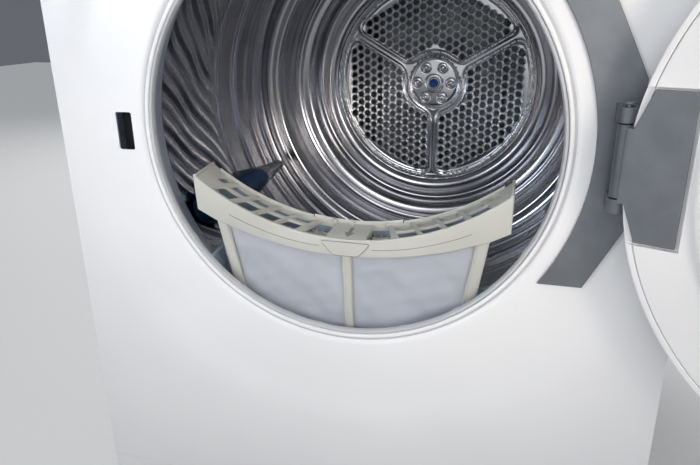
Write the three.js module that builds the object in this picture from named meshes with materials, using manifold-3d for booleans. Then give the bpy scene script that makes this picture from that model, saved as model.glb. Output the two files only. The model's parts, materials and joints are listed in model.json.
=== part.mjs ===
// A front-loading heat-pump clothes dryer, as an assembly of its separate pieces.
// Millimetres, +X to the right, +Y to the back, +Z up. The origin is the centre of the base's underside.
// At rest the door stands open on its right-hand hinge and the lint filter is half drawn out of its slot.
import * as THREE from "three";
import { mergeVertices } from "three/addons/utils/BufferGeometryUtils.js";
import Module from "manifold-3d";

const wasm = await Module();
wasm.setup();

// ---- driving dimensions ----
const gap = 0.4; // between two pieces that touch
const runGap = 1.0; // between a moving piece and a fixed one
const round = 48; // sides of a large circle
const fine = 24; // sides of a small circle

const cabinet = { width: 600, depth: 650, height: 838, sheet: 1.5 };
const topCover = { thick: 25, overhang: 6, corner: 14, wall: 6 };
const base = { slab: 16, step: 8, skidWidth: 380, skidDepth: 420 };
const foot = { padRadius: 22, padHeight: 10, drop: 12, studRadius: 5, inset: 55, sideInset: 60 };
const controlPanel = { height: 76, depth: 40, proud: 12 };
const kick = { height: 84, proud: 4, thick: 3, slot: 5, slots: 9, slotLength: 150, pitch: 8 };

const axisHeight = 490; // of the drum; the opening's centre is a little higher
const opening = { lift: 11, radius: 205, dishWidth: 70, dishSlope: 20, dishDepth: 4 };
const lip = { width: 10, flangeWidth: 11, front: 0.6, depth: 7, flange: 2.6 };
const funnel = { mouthStep: 1, rimWidth: 39, rimInset: 2, front: 8, rear: 98, wall: 2.5 };
const bulkhead = { plate: 2, setBack: 80, bottom: 30 };
const felt = { thick: 6, width: 16 };

const drum = { radius: 286, wall: 1.2, front: 105.4, length: 360, beadDepth: 5, rimTurn: 14 };
const dish = { flange: 40, wallDepth: 62, step: 34, stepDepth: 32, shelf: 42, plateDepth: 10, sheet: 2 };
const lifter = { height: 44, width: 52, topWidth: 16, front: 46, length: 270, count: 3, angle: 297.5 };
const hub = { radius: 44, plate: 4, boss: 14, rivetCircle: 30, rivets: 6, rivetRadius: 5.5, rivetHeight: 3, capRadius: 7.5, capHeight: 4 };
const shaft = { radius: 10, length: 40, flange: 26 };
const bearing = { radius: 26, wall: 5, width: 22, flange: 48, plate: 4 };

const roller = { radius: 24, width: 16, hubRadius: 9, axle: 5, angle: 36 };
const motor = { x: 178, z: 112, radius: 46, length: 110, shaft: 7, pulleyRadius: 12, pulleyWidth: 14 };
const beltSet = { thick: 2.4, width: 10, place: 300 };
const idler = { radius: 18, width: 14, x: 236, z: 168, axle: 5, arm: 12 };
const fan = { radius: 74, hubRadius: 22, width: 34, wall: 3, blades: 14, bladeThick: 3, inlet: 42 };
const compressor = { radius: 68, height: 150, x: -190, fromFront: 480 };
const coil = { x0: -282, x1: -64, height: 150, fins: 10, finGap: 13, evaporator: 110, condenser: 124, fromFront: 112, between: 18 };
const pipe = { radius: 5 };
const pump = { width: 64, depth: 54, height: 60, x: -120, fromFront: 590 };
const duct = { width: 230, depth: 36, wall: 3, bottom: 60, mouthBottom: 330, top: 640 };

const filter = {
  inset: 37, arch: 244, bandHeight: 38, depth: 43, wall: 3, height: 165, tilt: 5, raised: 100, seat: 5,
  front: 10, shoulder: 18, shoulderDrop: 10, footTaper: 28, post: 12, centrePost: 10, bottomBar: 12,
  windowArc: 343, windowDrop: 19, bodyFront: 2.5, bodyDepth: 32, meshThick: 0.8, rib: 3, rearRise: 9,
};
const slot = { wall: 2.5, clear: 1.6, below: 8 };

const door = {
  overlap: 27, thick: 37, back: 5, ringWidth: 44, glassThick: 4, dome: 9, linerWidth: 77, linerThick: 9,
  bowlDepth: 8, bowlThick: 4, open: 160, hookWidth: 12, hookHeight: 30,
};
const hinge = { beside: 6, forward: 25, ear: 12, earRadius: 8, span: 60, pin: 3, plate: 3.2, half: 121, cover: 18, reach: 14 };
const lock = { inset: 7, width: 20, height: 40, depth: 26 };

const tank = { width: 158, height: 52, length: 420, wall: 2.5, frontThick: 12, lipOut: 12 };
const knob = { radius: 27, height: 22, x: 12, skirt: 31 };
const button = { width: 30, height: 12, x: 262, travel: 2, depth: 10 };
const display = { width: 120, height: 44, x: 150, thick: 2.4 };
const gland = { radius: 11, x: 230, z: 90, length: 26 };
const sensor = { width: 70, height: 8, thick: 3, angle: 66, place: 52, clear: 2 };

// ---- places worked out from the dimensions ----
const front = -cabinet.depth / 2;
const rear = cabinet.depth / 2;
const halfWidth = cabinet.width / 2;
const openingHeight = axisHeight + opening.lift;
const dishRadius = opening.radius + opening.dishWidth;
const lipInner = opening.radius - lip.width;
const lipFlange = opening.radius + lip.flangeWidth;
const rimRadius = drum.radius - funnel.rimInset;
const filterHalf = lipInner - filter.inset;
const mouthRadius = lipInner + funnel.mouthStep;
const throatRadius = rimRadius - funnel.rimWidth;
const doorRadius = opening.radius + door.overlap;
const hingeX = doorRadius + hinge.beside;
const lockX = doorRadius - lock.inset;
const shoulderRadius = drum.radius - dish.flange;
const stepRadius = shoulderRadius - dish.step;
const plateRadius = stepRadius - dish.shelf;
const innerHalf = halfWidth - cabinet.sheet - gap;
const coverBottom = cabinet.height - topCover.thick;
const panelBottom = coverBottom - gap - controlPanel.height;
const kickTop = base.step + gap + kick.height;
const slabTop = base.step + base.slab;
const drumFront = front + drum.front;
const drumRear = drumFront + drum.length;
const rollerFront = drumFront + 24;

// Where a front roller's axle lies, on the side given by the sign.
function rollerPlace(side) {
  const away = drum.radius + roller.radius + runGap;
  const angle = (roller.angle * Math.PI) / 180;
  return [side * away * Math.sin(angle), axisHeight - away * Math.cos(angle)];
}

// ---- helpers ----
const vec = (x, y) => new THREE.Vector2(x, y);
const degrees = (angle) => (angle * Math.PI) / 180;

// A closed manifold solid from a three.js geometry.
function solid(geometry) {
  const flat = geometry.index ? geometry.toNonIndexed() : geometry.clone();
  const bare = new THREE.BufferGeometry().setAttribute("position", flat.getAttribute("position"));
  const merged = mergeVertices(bare, 1e-4);
  const made = new wasm.Manifold(
    new wasm.Mesh({
      numProp: 3,
      vertProperties: new Float32Array(merged.attributes.position.array),
      triVerts: new Uint32Array(merged.index.array),
    }),
  );
  return made;
}

// A three.js geometry from a manifold solid.
function geometryOf(body) {
  const mesh = body.getMesh();
  const geometry = new THREE.BufferGeometry();
  geometry.setAttribute("position", new THREE.BufferAttribute(new Float32Array(mesh.vertProperties), 3));
  geometry.setIndex(new THREE.BufferAttribute(new Uint32Array(mesh.triVerts), 1));
  return geometry;
}

const join = (...parts) => geometryOf(parts.map(solid).reduce((all, part) => all.add(part)));
const cut = (body, ...tools) => geometryOf(tools.map(solid).reduce((left, tool) => left.subtract(tool), solid(body)));
const common = (a, b) => geometryOf(solid(a).intersect(solid(b)));

// A box between two corners.
function box(x0, x1, y0, y1, z0, z1) {
  return new THREE.BoxGeometry(x1 - x0, y1 - y0, z1 - z0).translate((x0 + x1) / 2, (y0 + y1) / 2, (z0 + z1) / 2);
}

// A solid of revolution about +Y. The profile is a list of [radius, y] that closes on itself.
function turned(profile, sides = round) {
  let area = 0;
  profile.forEach(([r, y], i) => {
    const [r2, y2] = profile[(i + 1) % profile.length];
    area += r * y2 - r2 * y;
  });
  const points = (area > 0 ? profile : [...profile].reverse()).map(([r, y]) => vec(Math.max(r, 0), y));
  return new THREE.LatheGeometry([...points, points[0].clone()], sides);
}

// The same, standing upright about +Z.
const turnedUpright = (profile, sides = fine) => turned(profile, sides).rotateX(Math.PI / 2);

// A ring about +Y.
function ring(inner, outer, y0, y1, sides = round) {
  return turned([[inner, y0], [outer, y0], [outer, y1], [inner, y1]], sides);
}

// A disc or rod about +Y.
function disc(radius, y0, y1, sides = fine) {
  return new THREE.CylinderGeometry(radius, radius, y1 - y0, sides).translate(0, (y0 + y1) / 2, 0);
}

// The same about +Z.
const rod = (radius, z0, z1, sides = fine) => turnedUpright([[0, z0], [radius, z0], [radius, z1], [0, z1]], sides);

// A plate in the XZ plane, from y0 to y1.
function plate(shape, y0, y1, segments = 12) {
  const geometry = new THREE.ExtrudeGeometry(shape, { depth: y1 - y0, bevelEnabled: false, curveSegments: segments });
  return geometry.rotateX(Math.PI / 2).translate(0, y1, 0);
}

// A rectangle with round corners, centred on (x, z).
function roundedRect(x, z, width, height, radius) {
  const shape = new THREE.Shape();
  const left = x - width / 2;
  const low = z - height / 2;
  shape.moveTo(left + radius, low);
  shape.lineTo(left + width - radius, low);
  shape.absarc(left + width - radius, low + radius, radius, -Math.PI / 2, 0);
  shape.lineTo(left + width, low + height - radius);
  shape.absarc(left + width - radius, low + height - radius, radius, 0, Math.PI / 2);
  shape.lineTo(left + radius, low + height);
  shape.absarc(left + radius, low + height - radius, radius, Math.PI / 2, Math.PI);
  shape.lineTo(left, low + radius);
  shape.absarc(left + radius, low + radius, radius, Math.PI, 1.5 * Math.PI);
  return shape;
}

// A round bar along a list of points, with soft corners.
function bar(points, radius, steps, sides = 8) {
  const path = new THREE.CatmullRomCurve3(points.map((p) => new THREE.Vector3(...p)), false, "catmullrom", 0.2);
  const section = new THREE.Shape();
  section.absarc(0, 0, radius, 0, 2 * Math.PI);
  return new THREE.ExtrudeGeometry(section, { steps, bevelEnabled: false, extrudePath: path, curveSegments: sides / 2 });
}

const finishes = {
  whiteEnamel: [0xececec, 0.35, 0],
  greyPlastic: [0xd0d1ca, 0.5, 0],
  collarPlastic: [0x9aa6b2, 0.4, 0],
  stainless: [0x8f9298, 0.25, 1],
  galvanised: [0xa7abad, 0.5, 0.8],
  blackPlastic: [0x1d1f22, 0.5, 0],
  darkPlastic: [0x334a62, 0.3, 0],
  blueCap: [0x0c4290, 0.4, 0],
  tintedGlass: [0x1a2230, 0.08, 0],
  meshCloth: [0xb9bfc8, 0.8, 0],
  rubber: [0x202020, 0.8, 0],
  feltCloth: [0xc9c4b8, 0.95, 0],
  copper: [0xb06a3c, 0.35, 1],
  castGrey: [0x6d7176, 0.5, 0.6],
};
const materials = Object.fromEntries(
  Object.entries(finishes).map(([name, [color, roughness, metalness]]) => [
    name,
    new THREE.MeshStandardMaterial({ color, roughness, metalness }),
  ]),
);

const dryer = new THREE.Group();
function add(name, geometry, finish, parent = dryer) {
  const mesh = new THREE.Mesh(geometry, materials[finish]);
  mesh.name = name;
  parent.add(mesh);
  return mesh;
}

// ---- cabinet ----
function buildCabinet() {
  const slabHalf = innerHalf;
  const footX = halfWidth - foot.sideInset;
  const footY = cabinet.depth / 2 - foot.inset;
  const feet = [
    ["front_left_foot", -footX, -footY],
    ["front_right_foot", footX, -footY],
    ["rear_left_foot", -footX, footY],
    ["rear_right_foot", footX, footY],
  ];
  const slab = box(-slabHalf, slabHalf, front + kick.thick + 2 * gap, rear - cabinet.sheet - gap, base.step, slabTop);
  const skid = box(-base.skidWidth / 2, base.skidWidth / 2, -base.skidDepth / 2, base.skidDepth / 2, 0, base.step + 1);
  const studHoles = feet.map(([, x, y]) => rod(foot.studRadius + gap, -1, slabTop + 1, 16).translate(x, y, 0));
  add("base_pan", cut(join(slab, skid), ...studHoles), "blackPlastic");

  // A levelling foot is a wide pad with a threaded stud that stands in the base.
  for (const [name, x, y] of feet) {
    const padTop = foot.padHeight - foot.drop;
    const profile = [
      [0, -foot.drop], [foot.padRadius - 2, -foot.drop], [foot.padRadius, 2 - foot.drop],
      [foot.padRadius, padTop], [foot.studRadius, padTop], [foot.studRadius, slabTop - 2], [0, slabTop - 2],
    ];
    add(name, turnedUpright(profile, 16).translate(x, y, 0), "rubber");
  }

  const sideBottom = base.step;
  for (const [name, side] of [["left_side_panel", -1], ["right_side_panel", 1]]) {
    const outer = side * halfWidth;
    const inner = side * (halfWidth - cabinet.sheet);
    const low = Math.min(outer, inner);
    add(name, box(low, low + cabinet.sheet, front + 2 * gap, rear, sideBottom, coverBottom - gap), "whiteEnamel");
  }

  // The rear panel has one round hole, where the cord leaves.
  const glandHole = disc(gland.radius + gap, rear - 2 * cabinet.sheet, rear + 1, 16).translate(gland.x, 0, gland.z);
  const sheet = box(-innerHalf, innerHalf, rear - cabinet.sheet, rear, sideBottom, coverBottom - gap);
  add("rear_panel", cut(sheet, glandHole), "galvanised");

  // The gland is a flanged sleeve, bored for the cord, that clips into the rear panel.
  const flangeY = rear + gap;
  add("cord_gland", turned([
    [4, flangeY + 8], [gland.radius - 3, flangeY + 8], [gland.radius + 4, flangeY + 3], [gland.radius + 4, flangeY],
    [gland.radius, flangeY], [gland.radius, flangeY - gland.length], [4, flangeY - gland.length],
  ], 16).translate(gland.x, 0, gland.z), "blackPlastic");

  const coverShape = roundedRect(0, 0, cabinet.width, cabinet.depth + topCover.overhang, topCover.corner);
  const cover = new THREE.ExtrudeGeometry(coverShape, { depth: topCover.thick, bevelEnabled: false, curveSegments: 6 });
  const edge = topCover.wall;
  const under = box(edge - halfWidth, halfWidth - edge, front + edge - topCover.overhang, rear - edge,
    coverBottom - 1, cabinet.height - edge);
  add("top_cover", cut(cover.translate(0, -topCover.overhang / 2, coverBottom), under), "whiteEnamel");

  // The lower grille: a shallow plate with rows of air slots.
  const bars = [];
  for (let row = 0; row < kick.slots; row += 1) {
    const z = kickTop - 12 - row * kick.pitch;
    bars.push(box(-kick.slotLength / 2, kick.slotLength / 2, front - kick.proud - 1, front + kick.thick + 1,
      z - kick.slot, z).translate(halfWidth / 2, 0, 0));
  }
  const kickPlate = box(-halfWidth, halfWidth, front - kick.proud, front + kick.thick - kick.proud, base.step + gap, kickTop);
  add("lower_grille", cut(kickPlate, ...bars), "whiteEnamel");
}

// ---- front panel, lip, bulkhead and seal ----
function buildFront() {
  const sheet = cabinet.sheet;
  const low = kickTop + gap;
  const high = panelBottom - gap;
  const out = -opening.dishDepth;
  const slopeEnd = dishRadius + opening.dishSlope;
  const dished = turned([
    [opening.radius, 0], [dishRadius, 0], [slopeEnd, out], [slopeEnd + 1, out],
    [slopeEnd + 1, out + sheet], [slopeEnd, out + sheet], [dishRadius, sheet], [opening.radius, sheet],
  ]).translate(0, front, openingHeight);
  const outline = box(-halfWidth, halfWidth, front - 20, front + 20, low, high);
  const flat = cut(
    box(-halfWidth, halfWidth, front + out, front + out + sheet, low, high),
    disc(slopeEnd + 0.5, front - 20, front + 20, round).translate(0, 0, openingHeight),
  );
  const lockHole = box(-lockX - lock.width / 2, -lockX + lock.width / 2, front - 9, front + 9,
    openingHeight - lock.height / 2, openingHeight + lock.height / 2);
  add("front_panel", cut(join(common(dished, outline), flat), lockHole), "whiteEnamel");

  // The lip lines the edge of the opening, with a flange behind the sheet.
  const flangeFront = sheet + gap;
  const flangeRear = flangeFront + lip.flange;
  add("opening_lip", turned([
    [lipInner, lip.front + 3], [lipInner + 4, lip.front], [opening.radius - gap, lip.front],
    [opening.radius - gap, flangeFront], [lipFlange, flangeFront], [lipFlange, flangeRear],
    [opening.radius, flangeRear], [lipInner + 3, lip.depth], [lipInner, lip.depth],
  ]).translate(0, front, openingHeight), "greyPlastic");

  // The bulkhead is a plate across the cabinet with a funnel from the lip to the drum. The funnel leans,
  // because its mouth stands a little higher than its rear.
  const wall = funnel.wall;
  const rim = funnel.rear - wall;
  const cone = leaning(turned([
    [mouthRadius, funnel.front], [throatRadius, rim], [throatRadius, funnel.rear],
    [throatRadius + wall + 1, funnel.rear], [throatRadius + wall + 1, rim], [throatRadius + wall, rim],
    [mouthRadius + wall, funnel.front],
  ]));
  const rimRing = ring(throatRadius, rimRadius, rim, funnel.rear).translate(0, front, axisHeight);
  const share = (bulkhead.setBack - funnel.front) / (rim - funnel.front);
  const holeRadius = mouthRadius + wall / 2 + share * (throatRadius - mouthRadius);
  const plateFront = front + bulkhead.setBack;
  const across = cut(
    box(-innerHalf, innerHalf, plateFront, plateFront + bulkhead.plate, bulkhead.bottom, panelBottom - gap),
    leaning(disc(holeRadius, bulkhead.setBack - 1, bulkhead.setBack + bulkhead.plate + 1, round)),
  );
  // Two axles moulded into the plate carry the drum's front rollers.
  const axles = [-1, 1].map((side) => {
    const [x, z] = rollerPlace(side);
    return disc(roller.axle - 0.3, plateFront + 1, rollerFront + roller.width + 6, 12).translate(x, 0, z);
  });
  const passage = filterPassage(slot.clear + slot.wall + gap, 60);
  const tray = cut(join(cone, rimRing, across), passage, passage.clone().translate(0, -9, 0));
  add("front_bulkhead", join(tray, ...axles), "collarPlastic");

  const feltFront = front + funnel.rear + gap;
  add("front_felt_seal", ring(rimRadius - felt.width, rimRadius, feltFront, feltFront + felt.thick)
    .translate(0, 0, axisHeight), "feltCloth");

  // A moulded bar on the funnel carries the moisture sensor's two contact strips.
  const sensorRadius = THREE.MathUtils.mapLinear(sensor.place, funnel.front, rim, mouthRadius, throatRadius);
  const block = box(-sensor.width / 2, sensor.width / 2, -sensor.height, sensor.height, -sensor.thick, 0);
  const groove = box(-sensor.width, sensor.width, -1.5, 1.5, -1.2, 1);
  const lean = Math.atan2(throatRadius - mouthRadius, rim - funnel.front);
  const chord = Math.sqrt(sensorRadius ** 2 - (sensor.width / 2) ** 2);
  const strip = cut(block, groove).rotateX(-lean).translate(0, sensor.place, sensor.thick + sensor.clear - chord);
  add("moisture_sensor", leaning(strip.rotateY(degrees(-sensor.angle))), "stainless");
}

// Moves a geometry from the opening's frame to the dryer's, sinking as it goes back until it is about the
// drum's axis at the funnel's rear.
function leaning(geometry) {
  const fall = -opening.lift / (funnel.rear - funnel.wall - funnel.front);
  const shear = new THREE.Matrix4().set(1, 0, 0, 0, 0, 1, 0, 0, 0, fall, 1, -fall * funnel.front, 0, 0, 0, 1);
  return geometry.clone().applyMatrix4(shear).translate(0, front, openingHeight);
}

// The space that the lint filter's slot takes, with the given clearance all round, and above by raised.
function filterPassage(clear, raised) {
  return placedWithFilter(slotBlock(clear, -filter.height - slot.below, -raised), 0);
}

// An upright block with the filter's section and a hollow top, in the filter's frame.
function slotBlock(clear, bottom, lowered) {
  const half = filterHalf + clear;
  return plate(archOutline(half, lowered, [[half, bottom], [-half, bottom]]), -clear, filter.depth + clear);
}

// Moves a geometry from the filter's frame (x across, y back from its front face, z up from the arch's middle)
// to the dryer's, with the filter lifted by the given amount above its seat.
function placedWithFilter(geometry, lifted) {
  const tilt = degrees(filter.tilt);
  const back = (filter.raised - lifted) * Math.sin(tilt);
  const rise = lifted * Math.cos(tilt);
  const seat = openingHeight - lipInner - filter.seat;
  return geometry.clone().rotateX(tilt).translate(0, front + filter.front + back, seat + rise);
}

// ---- lint filter ----
// Height over its middle of an arc that sags in the middle, at x.
const arcRise = (radius, x) => radius - Math.sqrt(radius ** 2 - x ** 2);

// A shape under the filter's arched top edge, which is lowered by drop. The bottom runs from right to left.
function archOutline(half, drop, bottom) {
  const shape = new THREE.Shape();
  const sweep = Math.asin(half / filter.arch);
  shape.absarc(0, filter.arch - drop, filter.arch, -Math.PI / 2 - sweep, -Math.PI / 2 + sweep, false);
  bottom.forEach(([x, z]) => shape.lineTo(x, z));
  return shape;
}

// Points along the windows' top edge, lowered by drop, from one x to another.
function windowEdge(x0, x1, drop, steps = 8) {
  return Array.from({ length: steps + 1 }, (_, i) => {
    const x = x0 + ((x1 - x0) * i) / steps;
    return [x, arcRise(filter.windowArc, x) - filter.windowDrop - drop];
  });
}

function buildFilter() {
  const { wall, depth, bodyFront } = filter;
  const half = filterHalf;
  const shoulder = half - filter.shoulder;
  const foot = shoulder - filter.footTaper;
  const edge = shoulder - filter.post;
  const shape = (corners) => new THREE.Shape(corners.map(([x, z]) => vec(x, z)));
  const endFoot = arcRise(filter.arch, half) - filter.bandHeight;
  const shoulderZ = endFoot - filter.shoulderDrop;
  const bottomZ = -filter.height;
  const bodyRear = bodyFront + filter.bodyDepth;
  const sideAt = (z) => THREE.MathUtils.mapLinear(z, shoulderZ, bottomZ, shoulder, foot);

  // The arched band, hollow and open on top, with a thin wall that rises behind it.
  const bandSide = [[half, endFoot], [shoulder, shoulderZ]];
  const mirrored = bandSide.map(([x, z]) => [-x, z]).reverse();
  const band = plate(archOutline(half, 0, [...bandSide, ...windowEdge(edge, -edge, 0), ...mirrored]), 0, depth);
  const innerHalf = half - wall;
  const bandHollow = plate(archOutline(innerHalf, -14, [
    [innerHalf, endFoot + wall], [shoulder - wall, shoulderZ + wall], ...windowEdge(edge - 2, 2 - edge, -wall),
    [wall - shoulder, shoulderZ + wall], [-innerHalf, endFoot + wall],
  ]), wall, depth - wall);
  const rearWall = plate(archOutline(half - 8, -filter.rearRise, windowEdge(edge, -edge, -6)), depth - 2, depth);

  // The body below it: front and rear walls with two windows each, and closed sides.
  const body = plate(shape([
    ...windowEdge(1 - edge, edge - 1, -2), [shoulder, shoulderZ], [foot, bottomZ], [-foot, bottomZ], [-shoulder, shoulderZ],
  ].reverse()), bodyFront, bodyRear);
  const bodyHollow = plate(shape([
    [-foot + wall, bottomZ + 4], [foot - wall, bottomZ + 4], [shoulder - wall - 1, shoulderZ],
    ...windowEdge(edge - 4, 4 - edge, -wall - 2), [wall + 1 - shoulder, shoulderZ],
  ]), bodyFront + wall, bodyRear - wall);
  const low = bottomZ + filter.bottomBar;
  const windows = [-1, 1].map((side) => {
    const topEdge = windowEdge(side * (sideAt(0) - filter.post), side * filter.centrePost / 2, 1);
    const corners = [...topEdge, [side * filter.centrePost / 2, low], [side * (sideAt(low) - filter.post), low]];
    return plate(shape(side > 0 ? corners : corners.reverse()), -1, depth + 1);
  });

  // Ribs and a middle wall divide the top into cells, and a tab in the middle takes a finger.
  const ribs = [-1, -0.75, -0.5, -0.24, 0.24, 0.5, 0.75, 1].map((share) => share * (edge - 2)).map((x) => box(x - filter.rib / 2, x + filter.rib / 2,
    1, depth - 1, arcRise(filter.arch, x) - 10, arcRise(filter.arch, x) - 2));
  const middle = common(
    plate(archOutline(innerHalf + 1, 2, [[innerHalf + 1, -40], [-innerHalf - 1, -40]]), depth / 2 - 1.5, depth / 2 + 1.5),
    plate(archOutline(innerHalf + 1, -20, windowEdge(half - 8, 8 - half, -9)), 0, depth),
  );
  const tab = box(-17, 17, 1, depth - 1, -9, -1.5);
  const shell = cut(join(band, rearWall, body), bandHollow, bodyHollow, ...windows);
  add("filter_frame", placedWithFilter(join(shell, middle, ...ribs, tab), filter.raised), "greyPlastic");

  // The two mesh panels lie against the insides of the windows.
  const meshSide = (z) => sideAt(z) - wall - 2;
  const meshShape = shape([
    ...windowEdge(6 - edge, edge - 6, -1), [meshSide(low - 3), low - 3], [-meshSide(low - 3), low - 3],
  ].reverse());
  const meshFront = bodyFront + wall + gap;
  const meshRear = bodyRear - wall - gap - filter.meshThick;
  for (const [name, y] of [["filter_mesh_front", meshFront], ["filter_mesh_rear", meshRear]]) {
    add(name, placedWithFilter(plate(meshShape, y, y + filter.meshThick), filter.raised), "meshCloth");
  }

  // The slot is a leaning tube with the filter's section, and the filter's top lies flush with its mouth.
  const bottom = bottomZ - slot.below;
  const tube = cut(slotBlock(slot.clear + slot.wall, bottom, 4), slotBlock(slot.clear, bottom - 1, -60));
  add("filter_slot", placedWithFilter(tube, 0), "collarPlastic");
}

// ---- drum ----
function buildDrum() {
  const r = drum.radius;
  const inner = r - drum.wall;
  // The shell's front edge is turned inwards, and two round beads stiffen it.
  const beads = [0.36, 0.7].map((share) => drumFront + share * drum.length);
  const beadHalf = 9;
  const outerLine = [[r, drumFront], ...beads.flatMap((y) => [
    [r, y - beadHalf], [r - drum.beadDepth, y - 3], [r - drum.beadDepth, y + 3], [r, y + beadHalf],
  ]), [r, drumRear]];
  const innerLine = outerLine.map(([radius, y]) => [radius - drum.wall, y]).reverse();
  innerLine[innerLine.length - 1] = [inner, drumFront + drum.wall];
  const shell = turned([
    ...outerLine, ...innerLine, [r - drum.rimTurn, drumFront + drum.wall], [r - drum.rimTurn, drumFront],
  ]);
  add("drum_shell", shell.translate(0, 0, axisHeight), "stainless");

  // The back is drawn in three steps, each deeper than the one around it.
  const t = dish.sheet;
  const y1 = drumRear + gap;
  const y2 = y1 + dish.wallDepth;
  const y3 = y2 + dish.stepDepth;
  const back = turned([
    [r, y1], [shoulderRadius, y1], [shoulderRadius, y2], [stepRadius, y2 + 12], [stepRadius, y3],
    [plateRadius + 2, y3], [plateRadius + 2, y3 + t], [stepRadius + t, y3 + t],
    [stepRadius + t, y2 + 12 + t], [shoulderRadius + t, y2 + t], [shoulderRadius + t, y1 + t], [r, y1 + t],
  ]);
  add("drum_back", back.translate(0, 0, axisHeight), "stainless");

  // The air plate: a disc with an upturned rim, bored in the middle for the hub.
  const rim = plateRadius + 2 - gap;
  const floorY = y3 + dish.plateDepth;
  const airPlate = turned([
    [hub.radius + gap, floorY], [rim - 8, floorY], [rim - 3, y3], [rim, y3], [rim, y3 + t], [rim - 2, y3 + t],
    [rim - 7, floorY + t], [hub.radius + gap, floorY + t],
  ]);
  add("perforated_plate", airPlate.translate(0, 0, axisHeight), "stainless");

  // The hub plate carries six rivets and a centre boss.
  const hubFront = floorY - hub.plate;
  const rivetHeads = Array.from({ length: hub.rivets }, (_, i) => {
    const angle = (2 * Math.PI * i) / hub.rivets;
    return disc(hub.rivetRadius, hubFront - hub.rivetHeight, hubFront + 1, 10)
      .translate(hub.rivetCircle * Math.cos(angle), 0, hub.rivetCircle * Math.sin(angle));
  });
  const plateBody = turned([
    [0, hubFront - 2], [hub.boss, hubFront - 2], [hub.boss + 3, hubFront], [hub.radius, hubFront],
    [hub.radius, floorY + t], [0, floorY + t],
  ], fine);
  add("drum_hub", join(plateBody, ...rivetHeads).translate(0, 0, axisHeight), "stainless");

  const capBack = hubFront - 2 - gap;
  add("hub_cap", turned([
    [0, capBack - hub.capHeight], [hub.capRadius - 1.5, capBack - hub.capHeight],
    [hub.capRadius, capBack - hub.capHeight + 1.5], [hub.capRadius, capBack], [0, capBack],
  ], fine).translate(0, 0, axisHeight), "blueCap");

  // The stub shaft is bolted behind the hub by its flange.
  const shaftFront = floorY + t + gap;
  add("drum_shaft", turned([
    [0, shaftFront], [shaft.flange, shaftFront], [shaft.flange, shaftFront + 4], [shaft.radius, shaftFront + 4],
    [shaft.radius, shaftFront + shaft.length], [0, shaftFront + shaft.length],
  ], fine).translate(0, 0, axisHeight), "castGrey");

  // Each lifter is a long ridge with a round crest and sloping ends.
  const base0 = Math.sqrt(inner ** 2 - (lifter.width / 2) ** 2) - runGap - gap - drum.beadDepth;
  for (let i = 0; i < lifter.count; i += 1) {
    const section = new THREE.Shape([
      vec(-lifter.width / 2, 0), vec(lifter.width / 2, 0), vec(lifter.topWidth / 2 + 6, lifter.height * 0.6),
      vec(lifter.topWidth / 2, lifter.height - 3), vec(lifter.topWidth / 4, lifter.height),
      vec(-lifter.topWidth / 4, lifter.height), vec(-lifter.topWidth / 2, lifter.height - 3),
      vec(-lifter.topWidth / 2 - 6, lifter.height * 0.6),
    ]);
    const y0 = drumFront + lifter.front;
    const ridge = new THREE.ExtrudeGeometry(section, { depth: lifter.length, bevelEnabled: false });
    ridge.rotateX(Math.PI / 2).translate(0, y0 + lifter.length, -base0);
    const profile = new THREE.Shape([
      vec(y0, -1), vec(y0 + lifter.length, -1), vec(y0 + lifter.length, 6), vec(y0 + lifter.length - 30, lifter.height + 1),
      vec(y0 + 46, lifter.height + 1), vec(y0, 8),
    ]);
    const side = new THREE.ExtrudeGeometry(profile, { depth: 2 * lifter.width, bevelEnabled: false });
    // The side outline runs along Y and up, so it turns from the XY plane to the YZ plane.
    side.rotateX(Math.PI / 2).rotateZ(Math.PI / 2).translate(-lifter.width, 0, -base0);
    const angle = lifter.angle + (360 / lifter.count) * i;
    const placed = common(ridge, side).rotateY(degrees(-angle));
    add(`lifter_${i + 1}`, placed.translate(0, 0, axisHeight), "darkPlastic");
  }

  // The bearing stands in a flanged housing on the rear panel.
  const housingRear = rear - cabinet.sheet - gap;
  const boreFront = shaftFront + 4 + runGap;
  add("bearing_housing", turned([
    [shaft.radius + 0.5, boreFront], [bearing.radius, boreFront], [bearing.radius, housingRear - bearing.plate],
    [bearing.flange, housingRear - bearing.plate], [bearing.flange, housingRear], [shaft.radius + 0.5, housingRear],
  ], fine).translate(0, 0, axisHeight), "castGrey");
}

// ---- rear duct ----
function buildDuct() {
  const y1 = rear - cabinet.sheet - gap;
  const y0 = y1 - duct.depth;
  const half = duct.width / 2;
  const w = duct.wall;
  const shell = box(-half, half, y0, y1, duct.bottom, duct.top);
  const inside = box(w - half, half - w, y0 + w, y1 - w, duct.bottom - 1, duct.top - w);
  const mouth = box(w - half, half - w, y0 - 1, y0 + w + 1, duct.mouthBottom, duct.top - w);
  const forHousing = disc(bearing.flange + runGap, y0 - 1, y1 + 1, fine).translate(0, 0, axisHeight);
  add("rear_air_duct", cut(shell, inside, mouth, forHousing), "greyPlastic");
}

// ---- drive: rollers, motor, belt, idler and blower ----
function oriented(from, to) {
  // The straight run of a belt between two circles that it passes on the given sides (+1 counter-clockwise).
  const dx = to.x - from.x;
  const dz = to.z - from.z;
  const span = Math.hypot(dx, dz);
  const heading = Math.atan2(dz, dx);
  const lean = Math.asin((from.side * from.r - to.side * to.r) / span);
  const angle = heading - Math.PI / 2 + lean;
  return {
    start: [from.x + from.side * from.r * Math.cos(angle), from.z + from.side * from.r * Math.sin(angle)],
    end: [to.x + to.side * to.r * Math.cos(angle), to.z + to.side * to.r * Math.sin(angle)],
  };
}

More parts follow.
